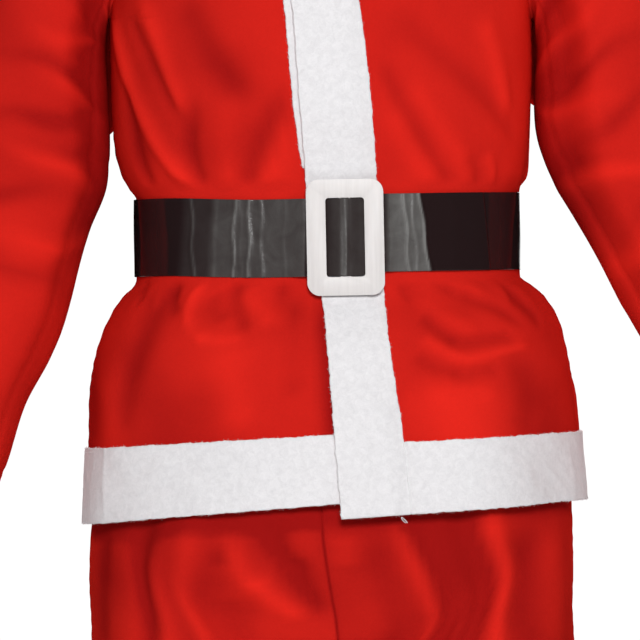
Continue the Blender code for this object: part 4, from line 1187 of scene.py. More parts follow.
def build_trouser_panel(name, side, front, material):
    """One of the four trouser panels, with its own centre and side seams."""
    rows = np.concatenate([TROUSER_HEM + TROUSER_HEM_LINES,
                           np.linspace(TROUSER_HEM + 0.003, TROUSER_TOP, TROUSER_ROWS)])
    closer = np.array(CLOSER_SHARES)
    shares = np.concatenate([closer, np.linspace(0.04, 0.96, TROUSER_COLUMNS), 1 - closer[::-1]])
    share, level = np.meshgrid(shares, rows)
    points = trouser_surface(share, level, side, front)
    normals = trouser_normals(share, level, side, front)
    edge_fade = ease(np.minimum(share, 1 - share) / SEAM_CALM)
    relief = trouser_creases(share, level, side, front)
    relief = relief * (SEAM_CALM_SHARE + (1 - SEAM_CALM_SHARE) * edge_fade)
    from_side, from_middle = reach(points, 1), reach(points, 1, from_end=True)
    seam = np.minimum(from_side, from_middle)
    # painted shade: all over, in the seams, and on the fronts, with a painted shadow under the jacket's hem
    fold_shade = relief - TROUSER_TONE - SEAM_SHADE * bell(seam, SEAM_SHADE_WIDTH)
    if front:
        fold_shade = fold_shade + front_thigh_shade(share, level, points[..., 0], side)
    relief = relief + tuck(from_side, level, 1.0 + side) + tuck(from_middle, level, 2.0 - side)
    hem = level - TROUSER_HEM - TROUSER_HEM_STITCH
    relief = relief - FOLDED_HEM * bell(hem, FOLDED_HEM_WIDTH)
    points = points + normals * relief[..., None]
    points[..., 0] += side * GAP / 2
    points[..., 1] += (-1 if front else 1) * GAP / 2
    along = np.stack([share * PANEL_WIDTH, level], -1)
    return wall_object(name, points, points - CLOTH * normals, along, material, fold_shade=fold_shade)


# ---- belt ----
STRAP_PITCH, STRAP_TURN = 0.0012, math.radians(0.55)  # between its stations in front, behind
STRAP_BEND, STRAP_BEND_WAVES = 0.001, 9  # how crooked its creases run
STRAP_SLACK, STRAP_DIP = 0.00035, 0.00025
BUCKLE_PRESS, BUCKLE_PRESS_RAMP = 0.036, 0.006  # no relief within this of its middle
BAR_RIDGE, BAR_RIDGE_WIDTH = 0.0007, 0.0016  # the tail bulges over the bar
TAIL_TURNS, TAIL_RAMP = 60, 50  # stations over which the tail slants
TAIL_CREASES_START, FAR_OFF = 0.045, 9.0  # a place with no crease near it
DROP_START, DROP_RUN, DROP_END, DROP_END_RUN = 0.95, 0.65, 0.034, 0.015
CRINKLE_GLARE_START, CRINKLE_GLARE_STOP = 0.010, 0.0018  # ramps of a length with painted reflection
# painted highlights along the deeper creases of the strap
CREASE_GLARE, CREASE_GLARE_FROM, CREASE_GLARE_WIDTH = 1400, 0.0004, 0.001


def eased_stations(table, pitch):
    """Stations along x, at a pitch, with the lift eased between a table's rows."""
    stations = []
    for (x0, off0), (x1, off1) in zip(table[:-1], table[1:]):
        steps = max(2, int((x1 - x0) / pitch))
        for share in np.arange(steps) / steps:
            stations.append((x0 + (x1 - x0) * share, off0 + (off1 - off0) * float(ease(share))))
    stations.append(tuple(table[-1]))
    return np.array(stations)


def crease_line(low, high, share):
    """Crooked line of x across the strap, from its lower to its upper edge."""
    return low + (high - low) * share + STRAP_BEND * np.sin(share * STRAP_BEND_WAVES + low * 300)


def strap_relief(x, share):
    """Creases across the strap's front."""
    total = np.zeros(np.broadcast(x, share).shape)
    for low, high, half_width, depth in STRAP_CREASES:
        total = total + depth * bell(x - crease_line(low, high, share), half_width)
    return total


def strap_stations():
    """Angles and lifts along the strap, its lengths before and over the bar, and the tail's x."""
    start, end = eased_stations(STRAP_START, STRAP_PITCH), eased_stations(STRAP_END, STRAP_PITCH)
    first = angle_at(start[:, 0], BELT_Z)
    final = angle_at(end[:, 0], BELT_Z) + 2 * math.pi
    count = int((final[0] - first[-1]) / STRAP_TURN)
    round_back = np.linspace(first[-1], final[0], count)[1:-1]
    angles = np.concatenate([first, round_back, final])
    lifts = np.concatenate([start[:, 1], np.full(len(round_back), STRAP_OFF), end[:, 1]])
    tail_x = np.concatenate([np.full(len(first) + len(round_back), -1.0), end[:, 0]])
    return angles, lifts, tail_x


def build_strap(material):
    """One strap: from behind the buckle bar, round the back, over the bar to its tail."""
    angles, lifts, tail_x = strap_stations()
    count = len(angles)
    shares = fine_shares(19, 0.012)[:, None]
    slant = TAIL_SLANT * ease((np.arange(count) - count + TAIL_TURNS) / TAIL_RAMP)
    turned = angles[None, :] - (shares - 0.5) * slant[None, :] / 0.2
    drop = ease((angles - 2 * math.pi + DROP_START) / DROP_RUN)
    drop = drop * (1 - ramp(tail_x, DROP_END, DROP_END_RUN))
    middle = BELT_Z + BELT_TILT * np.sin(angles) - BUCKLE_DROP * drop
    levels = middle[None, :] + (shares - 0.5) * BELT_WIDTH
    points = jacket_point(turned, levels)
    normals = surface_normal(jacket_point, turned, levels)
    x, front = points[..., 0], points[..., 1] < 0
    over = (tail_x > -1)[None, :]
    creased = (over & (x > TAIL_CREASES_START)) | (x < 0)
    relief = strap_relief(np.where(creased, x, FAR_OFF), shares)
    relief = relief * front + STRAP_SLACK * ripple(turned * CLOTH_RADIUS, levels, 7.0, 0.05)
    pressed = ramp(np.abs(x - BUCKLE_X), BUCKLE_PRESS, BUCKLE_PRESS_RAMP)
    relief = np.maximum(relief, -STRAP_DIP) * pressed
    bar_line = BUCKLE_X + 0.0008 * np.sin(shares * 5)
    relief = relief + BAR_RIDGE * over * bell(x - bar_line, BAR_RIDGE_WIDTH)
    inner = points + normals * (lifts[None, :] + relief)[..., None]
    outer = inner + normals * VINYL
    along = np.stack([turned * CLOTH_RADIUS, levels], -1)
    item = wall_object("belt_strap", outer, inner, along, material, bulge=0.2)
    # painted reflection: grey on the strap's crinkled lengths and along its creases
    mark(item.data, "crinkle_glare", strap_crinkle_glare(item.data))
    return item


def strap_crinkle_glare(data):
    """How much painted reflection each point of the strap's front gets, and how crinkled and rough it is
    there, for its material.
    """
    co = np.empty(len(data.vertices) * 3)
    data.vertices.foreach_get("co", co)
    x, y, z = co.reshape(-1, 3).T
    share = np.clip((z - BELT_Z) / BELT_WIDTH + 0.5, 0, 1)
    total = np.zeros(len(x))
    for low0, low1, high0, high1, amount in STRAP_CRINKLE_GLARE:
        start, stop = low0 + (high0 - low0) * share, low1 + (high1 - low1) * share
        total += amount * ramp(x, start, CRINKLE_GLARE_START) * ramp(x, stop, -CRINKLE_GLARE_STOP)
    for low, high, _, depth in STRAP_CREASES:
        near = bell(x - crease_line(low, high, share), CREASE_GLARE_WIDTH)
        total += CREASE_GLARE * (depth - CREASE_GLARE_FROM) * near
    return total * (y < 0)


def rounded_slab(name, size, corner, segments, place):
    """A slab whose four edges along Y are rounded."""
    mesh = bmesh.new()
    bmesh.ops.create_cube(mesh, size=1)
    bmesh.ops.scale(mesh, vec=size, verts=mesh.verts)
    upright = [e for e in mesh.edges if abs(e.verts[0].co.y - e.verts[1].co.y) > size[1] / 2]
    if corner:
        bmesh.ops.bevel(mesh, geom=upright, offset=corner, segments=segments, profile=0.5, affect="EDGES")
    bmesh.ops.translate(mesh, vec=place, verts=mesh.verts)
    data = bpy.data.meshes.new(name)
    mesh.to_mesh(data)
    mesh.free()
    return placed(name, data)


def build_buckle(material):
    """Moulded plastic frame with a thin bar down its middle and softened edges."""
    back_y = float(jacket_point(angle_at(BUCKLE_X, BELT_Z), BELT_Z)[1]) - BUCKLE_OFF
    thick = BUCKLE_SIZE[1]
    window_width, window_height = BUCKLE_WINDOW
    half_window = (window_width - BUCKLE_BAR) / 2
    blank = rounded_slab("buckle_blank", BUCKLE_SIZE, BUCKLE_CORNER, 14, (0, 0, 0))
    cutters = []
    for side in (-1, 1):
        place = (side * (BUCKLE_BAR + half_window) / 2, 0, 0)
        size = (half_window, thick * 2, window_height)
        cutters.append(rounded_slab(f"window_{side}", size, BUCKLE_WINDOW_CORNER, 6, place))
    recess = (BUCKLE_BAR + 0.002, thick, window_height)
    cutters.append(rounded_slab("bar_recess", recess, 0, 1, (0, -BUCKLE_BAR_THICK, 0)))
    for cutter in cutters:
        blank.modifiers.new(cutter.name, "BOOLEAN").object = cutter
    soften = blank.modifiers.new("soft edges", "BEVEL")
    soften.width = BUCKLE_SOFT_EDGE
    soften.segments = 4
    soften.limit_method = "ANGLE"
    soften.angle_limit = SHARP_TURN
    item = baked(blank, "buckle", material)
    for cutter in cutters:
        bpy.data.objects.remove(cutter)
    roll = Matrix.Rotation(-BUCKLE_ROLL, 4, "Y")
    place = Matrix.Translation((BUCKLE_X, back_y - thick / 2, BELT_Z - BUCKLE_DROP))
    item.data.transform(place @ roll @ Matrix.Diagonal(BUCKLE_TRIM))
    item.data.shade_smooth()
    item.data.set_sharp_from_angle(angle=SHARP_TURN)
    return item


def baked(source, name, material):
    """A plain mesh object in place of one with modifiers."""
    graph = bpy.context.evaluated_depsgraph_get()
    data = bpy.data.meshes.new_from_object(source.evaluated_get(graph))
    data.name = name
    data.materials.clear()
    data.materials.append(material)
    bpy.data.objects.remove(source)
    return placed("fine_" + name, data)


# ---- sewing and loose fibres ----
STITCH_THICK, STITCH_LIFT, STITCH_SPAN = 0.0003, 0.00008, 0.0008
SHORTEST_STITCH = 0.72  # share of the longest
SHORTEST_FIBRE, FIBRE_LEAN = 0.0006, 0.85
FIBRE_TIP, FIBRE_ROOT = 0.00004, 0.00011
THREAD_PLACE = (0.0672, -0.1672, -0.669)  # the loose thread's end
THREAD_LOOP, THREAD_DROP, THREAD_THICK = 0.0026, 0.003, 0.00034
SIDES = ("left", "right")
# piece, lines across rows (0) or columns (1), distance from that edge, from the far edge
WHITE_SEWING = [
    *((f"hem_band_{place}", 0, 0.003, True) for place in (*SIDES, "back")),
    ("front_band", 1, 0.0032, False), ("front_band", 1, 0.0032, True),
    ("under_band", 1, 0.0032, False)]
RED_SEWING = [
    *((f"sleeve_{side}", 0, 0.0205, True) for side in SIDES),
    *((f"trouser_{face}_{side}", 0, 0.0225, False) for face in ("front", "back") for side in SIDES)]


def sewn_line(name, axis, distance, from_end, pitch):
    """Middles and directions of the stitches along one line of a piece."""
    outer, inner = WALLS[name]
    span = reach(outer, axis, from_end).mean(axis=1 - axis)
    index = int(np.argmin(np.abs(span - distance)))
    line, under = np.take(outer, index, axis), np.take(inner, index, axis)
    if name.startswith("sleeve"):
        line, under = np.vstack([line, line[:1]]), np.vstack([under, under[:1]])
    along = np.concatenate([[0], np.cumsum(np.linalg.norm(np.diff(line, axis=0), axis=1))])
    at = np.arange(pitch / 2, along[-1], pitch)
    lifted = line + unit(line - under) * STITCH_LIFT
    middle, behind, ahead = (
        np.stack([np.interp(at + off, along, lifted[:, k]) for k in range(3)], -1)
        for off in (0, -STITCH_SPAN, STITCH_SPAN))
    return middle, unit(ahead - behind)


def node_group(name, sockets):
    """A geometry node group: itself, its inputs' outputs and its result's input."""
    group = bpy.data.node_groups.new(name, "GeometryNodeTree")
    group.interface.new_socket("Geometry", in_out="INPUT", socket_type="NodeSocketGeometry")
    for label, kind in sockets:
        group.interface.new_socket(label, in_out="INPUT", socket_type="NodeSocket" + kind)
    group.interface.new_socket("Geometry", in_out="OUTPUT", socket_type="NodeSocketGeometry")
    return group, group.nodes.new("NodeGroupInput").outputs, group.nodes.new("NodeGroupOutput").inputs[0]


def place_copies(group, given, points, piece, rotation, scale, result):
    """Instances on points, made real and given the material."""
    copies = add(group, "GeometryNodeInstanceOnPoints", {
        "Points": points, "Instance": piece, "Rotation": rotation, "Scale": scale})
    real = add(group, "GeometryNodeRealizeInstances", {"Geometry": copies.outputs[0]})
    painted = add(group, "GeometryNodeSetMaterial", {
        "Geometry": real.outputs[0], "Material": given["Material"]})
    group.links.new(painted.outputs[0], result)


def stitch_group():
    """A thin oval stitch on every point, turned along the attribute way."""
    group, given, result = node_group("stitches", [
        ("Half length", "Float"), ("Thickness", "Float"), ("Uneven", "Float"), ("Seed", "Int"),
        ("Material", "Material")])
    way = add(group, "GeometryNodeInputNamedAttribute", {"Name": "way"}, data_type="FLOAT_VECTOR")
    turn = add(group, "FunctionNodeAlignRotationToVector", {"Vector": way.outputs[0]}, axis="X")
    uneven = add(group, "FunctionNodeRandomValue", {2: given["Uneven"], 3: 1.0, "Seed": given["Seed"]},
                 data_type="FLOAT")
    length = product(group, given["Half length"], uneven.outputs[1])
    scale = add(group, "ShaderNodeCombineXYZ", {0: length, 1: given["Thickness"], 2: given["Thickness"]})
    ball = add(group, "GeometryNodeMeshIcoSphere", {"Radius": 1.0, "Subdivisions": 1})
    place_copies(group, given, given["Geometry"], ball.outputs[0], turn.outputs[0], scale.outputs[0], result)
    return group


def fibre_group():
    """Short loose fibres standing out of the faces marked as a cut edge."""
    group, given, result = node_group("cut_edge_fibres", [
        ("Density", "Float"), ("Shortest", "Float"), ("Longest", "Float"), ("Lean", "Float"), ("Seed", "Int"),
        ("Material", "Material")])
    cut = add(group, "GeometryNodeInputNamedAttribute", {"Name": "cut_edge"}, data_type="FLOAT")
    dense = product(group, cut.outputs[0], given["Density"])
    spots = add(group, "GeometryNodeDistributePointsOnFaces", {
        "Mesh": given["Geometry"], "Density": dense, "Seed": given["Seed"]})
    least = product(group, given["Lean"], -1.0)
    lean = add(group, "FunctionNodeRandomValue", {
        0: least, 1: given["Lean"], "Seed": given["Seed"]}, data_type="FLOAT_VECTOR")
    euler = add(group, "FunctionNodeEulerToRotation", {0: lean.outputs[0]})
    turn = add(group, "FunctionNodeRotateRotation", {0: spots.outputs["Rotation"], 1: euler.outputs[0]},
               rotation_space="LOCAL")
    length = add(group, "FunctionNodeRandomValue", {
        2: given["Shortest"], 3: given["Longest"], "Seed": given["Seed"]}, data_type="FLOAT")
    scale = add(group, "ShaderNodeCombineXYZ", {0: 1.0, 1: 1.0, 2: length.outputs[1]})
    cone = add(group, "GeometryNodeMeshCone", {
        "Vertices": 3, "Radius Top": FIBRE_TIP, "Radius Bottom": FIBRE_ROOT, "Depth": 1.0},
        fill_type="NONE")
    place_copies(group, given, spots.outputs[0], cone.outputs[0], turn.outputs[0], scale.outputs[0], result)
    return group


def grown(name, data, group, values):
    """What a node group makes from a mesh, as a plain object."""
    source = placed(name + "_source", data)
    maker = source.modifiers.new("maker", "NODES")
    maker.node_group = group
    for socket in group.interface.items_tree:
        if socket.in_out == "INPUT" and socket.name in values:
            maker[socket.identifier] = values[socket.name]
    return baked(source, name, values["Material"])


def build_stitches(name, lines, material, group, settings):
    """All stitches of one colour."""
    pitch = round(settings.stitch_pitch, 6)
    places, ways = zip(*(sewn_line(*line, pitch) for line in lines))
    data = bpy.data.meshes.new(name + "_places")
    data.from_pydata(np.concatenate(places).tolist(), [], [])
    way = data.attributes.new("way", "FLOAT_VECTOR", "POINT")
    way.data.foreach_set("vector", np.concatenate(ways).astype(np.float32).ravel())
    return grown(name, data, group, {
        "Half length": settings.stitch_length / 2, "Thickness": STITCH_THICK,
        "Uneven": SHORTEST_STITCH, "Seed": 4, "Material": material})


def build_thread(material):
    """A loose loop of sewing thread under the front band's corner."""
    end_x, end_y, end_z = THREAD_PLACE
    turn = np.linspace(-0.35 * math.pi, 1.35 * math.pi, 22)
    x = end_x + THREAD_LOOP * np.cos(turn + 0.35 * math.pi) * (1 - 0.15 * np.sin(turn))
    y = end_y - 0.0004 * np.sin(turn)
    z = end_z - THREAD_DROP + THREAD_LOOP * np.cos(turn - 0.5 * math.pi)
    curve = bpy.data.curves.new("thread_blank", "CURVE")
    curve.dimensions, curve.bevel_depth, curve.bevel_resolution = "3D", THREAD_THICK, 1
    line = curve.splines.new("POLY")
    line.points.add(len(turn) - 1)
    for spot, place in zip(line.points, zip(x, y, z)):
        spot.co = (*place, 1)
    return baked(placed("thread_blank", curve), "thread", material)


# ---- materials ----
def add(tree, kind, links=None, **settings):
    """A node with its settings, and its inputs set or linked by name or number."""
    item = tree.nodes.new(kind)
    for key, value in settings.items():
        setattr(item, key, value)
    for key, value in (links or {}).items():
        if isinstance(value, bpy.types.NodeSocket):
            tree.links.new(value, item.inputs[key])
        else:
            item.inputs[key].default_value = value
    return item


def new_material(name, **values):
    """A material with its principled shader's own sockets set."""
    material = bpy.data.materials.new("fine_" + name)
    material.use_nodes = True
    shader = material.node_tree.nodes["Principled BSDF"]
    for key, value in values.items():
        shader.inputs[key.replace("_", " ")].default_value = value
    return material, material.node_tree, shader


def noise(tree, vector, scale, detail=3.0, roughness=0.6, distortion=0.0):
    """A noise pattern's factor."""
    made = add(tree, "ShaderNodeTexNoise", {
        "Vector": vector, "Scale": scale, "Detail": detail,
        "Roughness": roughness, "Distortion": distortion})
    return made.outputs["Fac"]


def mottle(tree, vector, edge, **shape):
    """Noise with its middle stretched: edge becomes 0, and as much below 1 becomes 1."""
    made = add(tree, "ShaderNodeMapRange", {
        "Value": noise(tree, vector, **shape), "From Min": edge, "From Max": 1 - edge})
    return made.outputs["Result"]


def blend_colours(tree, factor, low, high):
    """A colour between two, by a factor socket."""
    made = add(tree, "ShaderNodeMix", {0: factor, 6: (*low, 1), 7: (*high, 1)}, data_type="RGBA")
    return made.outputs[2]


def mixed(tree, factor, first, second):
    """A number between two, by a factor."""
    made = add(tree, "ShaderNodeMix", {0: factor, 2: first, 3: second}, data_type="FLOAT")
    return made.outputs[0]


def product(tree, first, second):
    """Two numbers multiplied."""
    return add(tree, "ShaderNodeMath", {0: first, 1: second}, operation="MULTIPLY").outputs[0]


def bump(tree, height, strength, distance, under=None):
    """Normals roughened by a height, over those from another bump."""
    links = {"Height": height, "Strength": strength, "Distance": distance}
    if under:
        links["Normal"] = under
    return add(tree, "ShaderNodeBump", links).outputs["Normal"]


def feed(tree, shader, colour, normal):
    """Give a shader its colour and normals."""
    tree.links.new(colour, shader.inputs["Base Color"])
    tree.links.new(normal, shader.inputs["Normal"])


def object_place(tree):
    """The place on the piece, which patterns are laid out on."""
    return add(tree, "ShaderNodeTexCoord").outputs["Object"]


def stored(tree, name):
    """A number stored on the piece's points."""
    return add(tree, "ShaderNodeAttribute", attribute_name=name).outputs["Fac"]


def red_felt(settings):
    """Thin brushed red felt: uneven tone, short nap, and painted shade: paler where folds stand out, darker
    in creases, hollows and seams.
    """
    material, tree, shader = new_material("red_felt", Roughness=1.0, Specular_IOR_Level=0.0)
    at = object_place(tree)
    broad = mottle(tree, at, 0.30, scale=11, roughness=0.55, distortion=0.4)
    nap = mottle(tree, at, 0.25, scale=520, detail=4, roughness=0.7, distortion=0.8)
    even = mixed(tree, mixed(tree, 0.5, nap, broad), 0.38, 0.62)
    # painted shade: the fold height makes the colour paler on ridges and darker in creases, hollows and
    # seams, over the felt's random tone
    tone = add(tree, "ShaderNodeMath", {0: stored(tree, "fold_shade"), 1: 0.30, 2: even},
               operation="MULTIPLY_ADD")
    colour = blend_colours(tree, tone.outputs[0], settings.red_shaded, settings.red_lit)
    soft = noise(tree, at, scale=160, distortion=0.3)
    fibre = noise(tree, at, scale=900, detail=5, roughness=0.75, distortion=1.2)
    normal = bump(tree, soft, strength=0.22, distance=0.0009)
    normal = bump(tree, fibre, strength=0.28, distance=0.0005, under=normal)
    feed(tree, shader, colour, normal)
    return material


def white_felt(settings):
    """Thick needled white felt: mottled, with a painted highlight along its cut edges."""
    material, tree, shader = new_material(
        "white_felt", Roughness=0.95, Sheen_Weight=0.10, Sheen_Roughness=0.6,
        Specular_IOR_Level=0.1)
    at = object_place(tree)
    patches = mottle(tree, at, 0.30, scale=170, detail=4, roughness=0.65, distortion=0.8)
    specks = mottle(tree, at, 0.28, scale=620, detail=4, roughness=0.75, distortion=1.5)
    tone = mixed(tree, 0.45, patches, specks)
    colour = blend_colours(tree, tone, settings.white_deep, settings.white_lit)
    # painted highlight: the cut edges are mixed towards a paler white
    highlit_edges = add(tree, "ShaderNodeMix", {
        0: stored(tree, "cut_edge"), 6: colour, 7: (*settings.white_cut_highlight, 1)}, data_type="RGBA")
    soft = noise(tree, at, scale=130, detail=4, roughness=0.65, distortion=0.6)
    fibre = noise(tree, at, scale=760, detail=5, roughness=0.8, distortion=2.2)
    normal = bump(tree, soft, strength=0.35, distance=0.0012)
    normal = bump(tree, fibre, strength=0.40, distance=0.0006, under=normal)
    feed(tree, shader, highlit_edges.outputs[2], normal)
    return material


def black_vinyl(settings):
    """Thin glossy black vinyl with painted reflection: grey on its crinkled, rougher lengths, where the
    lights' reflection spreads.
    """
    material, tree, shader = new_material("black_vinyl", Specular_IOR_Level=0.24)
    at = object_place(tree)
    cloudy = mottle(tree, at, 0.28, scale=42, detail=4, distortion=0.8)
    # painted reflection: grey where the lights' reflection spreads; the same share roughens and crinkles the
    # vinyl
    glare_and_crinkle = product(tree, stored(tree, "crinkle_glare"), mixed(tree, cloudy, 0.55, 1.0))
    colour = blend_colours(
        tree, product(tree, glare_and_crinkle, 0.5), settings.vinyl_black, settings.vinyl_glare)
    tree.links.new(mixed(tree, glare_and_crinkle, 0.10, 0.30), shader.inputs["Roughness"])
    grain = noise(tree, at, scale=1500, detail=2, roughness=0.5)
    crinkle = noise(tree, at, scale=190, detail=4, roughness=0.62, distortion=0.4)
    normal = bump(tree, grain, strength=0.06, distance=0.0002)
    crinkled = mixed(tree, glare_and_crinkle, 0.05, 0.45)
    normal = bump(tree, crinkle, strength=crinkled, distance=0.0006, under=normal)
    feed(tree, shader, colour, normal)
    return material


def ivory_plastic(settings):
    """Moulded off-white plastic with faint flow streaks."""
    material, tree, shader = new_material(
        "ivory_plastic", Roughness=0.42, Specular_IOR_Level=0.45, Subsurface_Weight=0.08,
        Subsurface_Radius=(0.003, 0.0025, 0.002))
    at = object_place(tree)
    flow = add(tree, "ShaderNodeMapping", {"Vector": at, "Scale": (1, 1, 0.06)}).outputs["Vector"]
    streaks = mottle(tree, flow, 0.3, scale=330)
    colour = blend_colours(tree, streaks, settings.ivory_deep, settings.ivory_lit)
    normal = bump(tree, noise(tree, at, scale=240), strength=0.08, distance=0.0004)
    feed(tree, shader, colour, normal)
    return material


MAKERS = {maker.__name__: maker for maker in (red_felt, white_felt, black_vinyl, ivory_plastic)}


def finish_of(slot):
    """The material of a slot, made once."""
    made = bpy.data.materials.get("fine_" + slot)
    return made or MAKERS[slot](bpy.context.scene.santa_suit)


# ---- operators ----
def colour_choice(name, description, default):
    """A colour that the user may change."""
    return bpy.props.FloatVectorProperty(
        name=name, description=description, default=default, min=0.0, max=1.0, subtype="COLOR")


def length_choice(name, description, default, low, high):
    """A length in metres that the user may change."""
    return bpy.props.FloatProperty(
        name=name, description=description, default=default, min=low, max=high,
        precision=5, unit="LENGTH", subtype="DISTANCE")


class SuitSettings(bpy.types.PropertyGroup):
    """Choices of the suit's operators."""
    # The red felt runs from its colour in painted shade (creases, hollows, seams) to its colour in painted
    # light, where folds stand out.
    red_shaded: colour_choice(
        "Red, deep", "Red felt where its nap is darkest", (0.34, 0.0075, 0.0068))
    red_lit: colour_choice(
        "Red, pale", "Red felt where folds stand out", (0.88, 0.0245, 0.0142))
    white_deep: colour_choice(
        "White, deep", "White felt between its tufts", (0.70, 0.685, 0.70))
    white_lit: colour_choice(
        "White, pale", "White felt on its tufts", (0.885, 0.87, 0.885))
    # the paler white of the cut edges is a painted highlight
    white_cut_highlight: colour_choice(
        "White, cut", "White felt on its cut edges", (0.95, 0.94, 0.95))
    # The strap's clean black, then the grey of its painted reflection on its crinkled lengths.
    vinyl_black: colour_choice(
        "Vinyl", "The strap where it is clean", (0.0185, 0.010, 0.0105))
    vinyl_glare: colour_choice(
        "Vinyl, scuffed", "The strap where it has been handled", (0.175, 0.173, 0.166))
    ivory_deep: colour_choice(
        "Plastic, deep", "The buckle's darker streaks", (0.655, 0.622, 0.612))
    ivory_lit: colour_choice(
        "Plastic, pale", "The buckle's paler streaks", (0.715, 0.682, 0.672))
    stitch_pitch: length_choice(
        "Stitch pitch", "From one stitch to the next", 0.0034, 0.002, 0.02)
    stitch_length: length_choice(
        "Stitch length", "Longest stitch that shows", 0.0025, 0.0005, 0.02)
    fibre_length: length_choice(
        "Fibre length", "Longest loose fibre of the white felt", 0.0021, 0.0006, 0.02)
    fibres: bpy.props.FloatProperty(
        name="Fibres", description="Loose fibres on the white felt's cut edges, per square metre",
        default=6.0e5, min=0.0, max=2.0e6)
    camera_distance: length_choice(
        "Camera distance", "From the suit's middle to the camera", 10.0, 2.0, 40.0)
    fill: bpy.props.FloatProperty(
        name="Fill", description="Strength of the light from all round",
        default=0.25, min=0.0, max=3.0)


# the cut of each piece: width and length of the cloth it is cut from, and its own area
JACKET_CUTS = {
    "jacket_front_left": ((0.351, 0.734), 0.174),
    "jacket_front_right": ((0.348, 0.731), 0.177),
    "jacket_back": ((0.624, 0.734), 0.345),
}
SLEEVE_CUTS = {"sleeve_right": ((0.506, 0.607), 0.249), "sleeve_left": ((0.506, 0.594), 0.249)}
TROUSER_CUTS = {"front": ((0.384, 1.142), 0.309), "back": ((0.403, 1.157), 0.318)}
# plain strips fill their rectangle; with what each lies on
BAND_CUTS = {
    "front_band": ((0.059, 0.606), "jacket_front_left"),
    "under_band": ((0.037, 0.283), "jacket_front_right"),
    "hem_band_left": ((0.247, 0.061), "jacket_front_left"),
    "hem_band_right": ((0.349, 0.0635), "jacket_front_right"),
    "hem_band_back": ((0.629, 0.063), "jacket_back"),
}
STRAP_CUT = (0.069, 1.10)


class SuitOperator:
    """What the suit's operators share."""
    bl_options = {"REGISTER", "UNDO"}

    def execute(self, context):
        self.build(context.scene.santa_suit)
        return {"FINISHED"}


class SUIT_OT_jacket(SuitOperator, bpy.types.Operator):
    """Build the jacket's two fronts and its back"""
    bl_idname, bl_label = "suit.jacket", "Jacket panels"

    def build(self, settings):
        red = finish_of("red_felt")
        for name, cut in JACKET_CUTS.items():
            declare_worn(build_panel(name, red), name, cut)


class SUIT_OT_bands(SuitOperator, bpy.types.Operator):
    """Lay the white felt bands on the jacket's edges"""
    bl_idname, bl_label = "suit.bands", "White bands"

    def build(self, settings):
        white = finish_of("white_felt")
        for name, (flat, under) in BAND_CUTS.items():
            if name.startswith("hem"):
                item = build_hem_band(name, white)
            elif name == "front_band":
                item = build_front_band(white)
            else:
                item = build_under_band(white)
            declare(item, name, "white_felt", flat=flat, area=None, held="laid",
                    rests_on=(under,))


class SUIT_OT_sleeves(SuitOperator, bpy.types.Operator):
    """Build both sleeves"""
    bl_idname, bl_label = "suit.sleeves", "Sleeves"

    def build(self, settings):
        red = finish_of("red_felt")
        for name, table, creases, side in (
                ("sleeve_right", SLEEVE_RIGHT, SLEEVE_CREASES_RIGHT, -1),
                ("sleeve_left", SLEEVE_LEFT, SLEEVE_CREASES_LEFT, 1)):
            declare_worn(build_sleeve(name, table, creases, side, red), name, SLEEVE_CUTS[name])


class SUIT_OT_trousers(SuitOperator, bpy.types.Operator):
    """Build the four trouser panels"""
    bl_idname, bl_label = "suit.trousers", "Trousers"

    def build(self, settings):
        red = finish_of("red_felt")
        for side, side_name in ((1, "left"), (-1, "right")):
            for front, front_name in ((True, "front"), (False, "back")):
                name = f"trouser_{front_name}_{side_name}"
                item = build_trouser_panel(name, side, front, red)
                declare_worn(item, name, TROUSER_CUTS[front_name])


class SUIT_OT_belt(SuitOperator, bpy.types.Operator):
    """Build the vinyl strap and its buckle"""
    bl_idname, bl_label = "suit.belt", "Belt"

    def build(self, settings):
        strap = build_strap(finish_of("black_vinyl"))
        declare(strap, "belt_strap", "black_vinyl", flat=STRAP_CUT, held="draped",
                rests_on=("jacket_front_left", "jacket_front_right", "jacket_back"))
        declare(build_buckle(finish_of("ivory_plastic")), "buckle", "ivory_plastic")


class SUIT_OT_sewing(SuitOperator, bpy.types.Operator):
    """Add the stitches, the felt's loose fibres and a thread end"""
    bl_idname, bl_label = "suit.sewing", "Sewing and fibres"

    def build(self, settings):
        white, red = finish_of("white_felt"), finish_of("red_felt")
        stitches, fibres = stitch_group(), fibre_group()
        made = [
            (build_stitches("white_stitches", WHITE_SEWING, white, stitches, settings), "white_felt"),
            (build_stitches("red_stitches", RED_SEWING, red, stitches, settings), "red_felt"),
            (build_thread(white), "white_felt")]
        for name in BAND_CUTS:
            data = bpy.data.objects["fine_" + name].data
            made.append((grown(name + "_fibres", data, fibres, {
                "Density": settings.fibres, "Shortest": SHORTEST_FIBRE,
                "Longest": settings.fibre_length, "Lean": FIBRE_LEAN,
                "Seed": len(made), "Material": white}), "white_felt"))
        for item, slot in made:
            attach(item, "root")


class SUIT_OT_stage(SuitOperator, bpy.types.Operator):
    """Set the floor, surround, lights and camera"""
    bl_idname, bl_label = "suit.stage", "Stage"

    def build(self, settings):
        scene = bpy.context.scene
        scene.view_settings.view_transform = "Standard"
        scene.view_settings.look = "None"
        scene.world = make_world(settings.fill)
        make_floor()
        make_surround()
        for light in LIGHTS:
            place_light(*light)
        place_camera(settings.camera_distance)


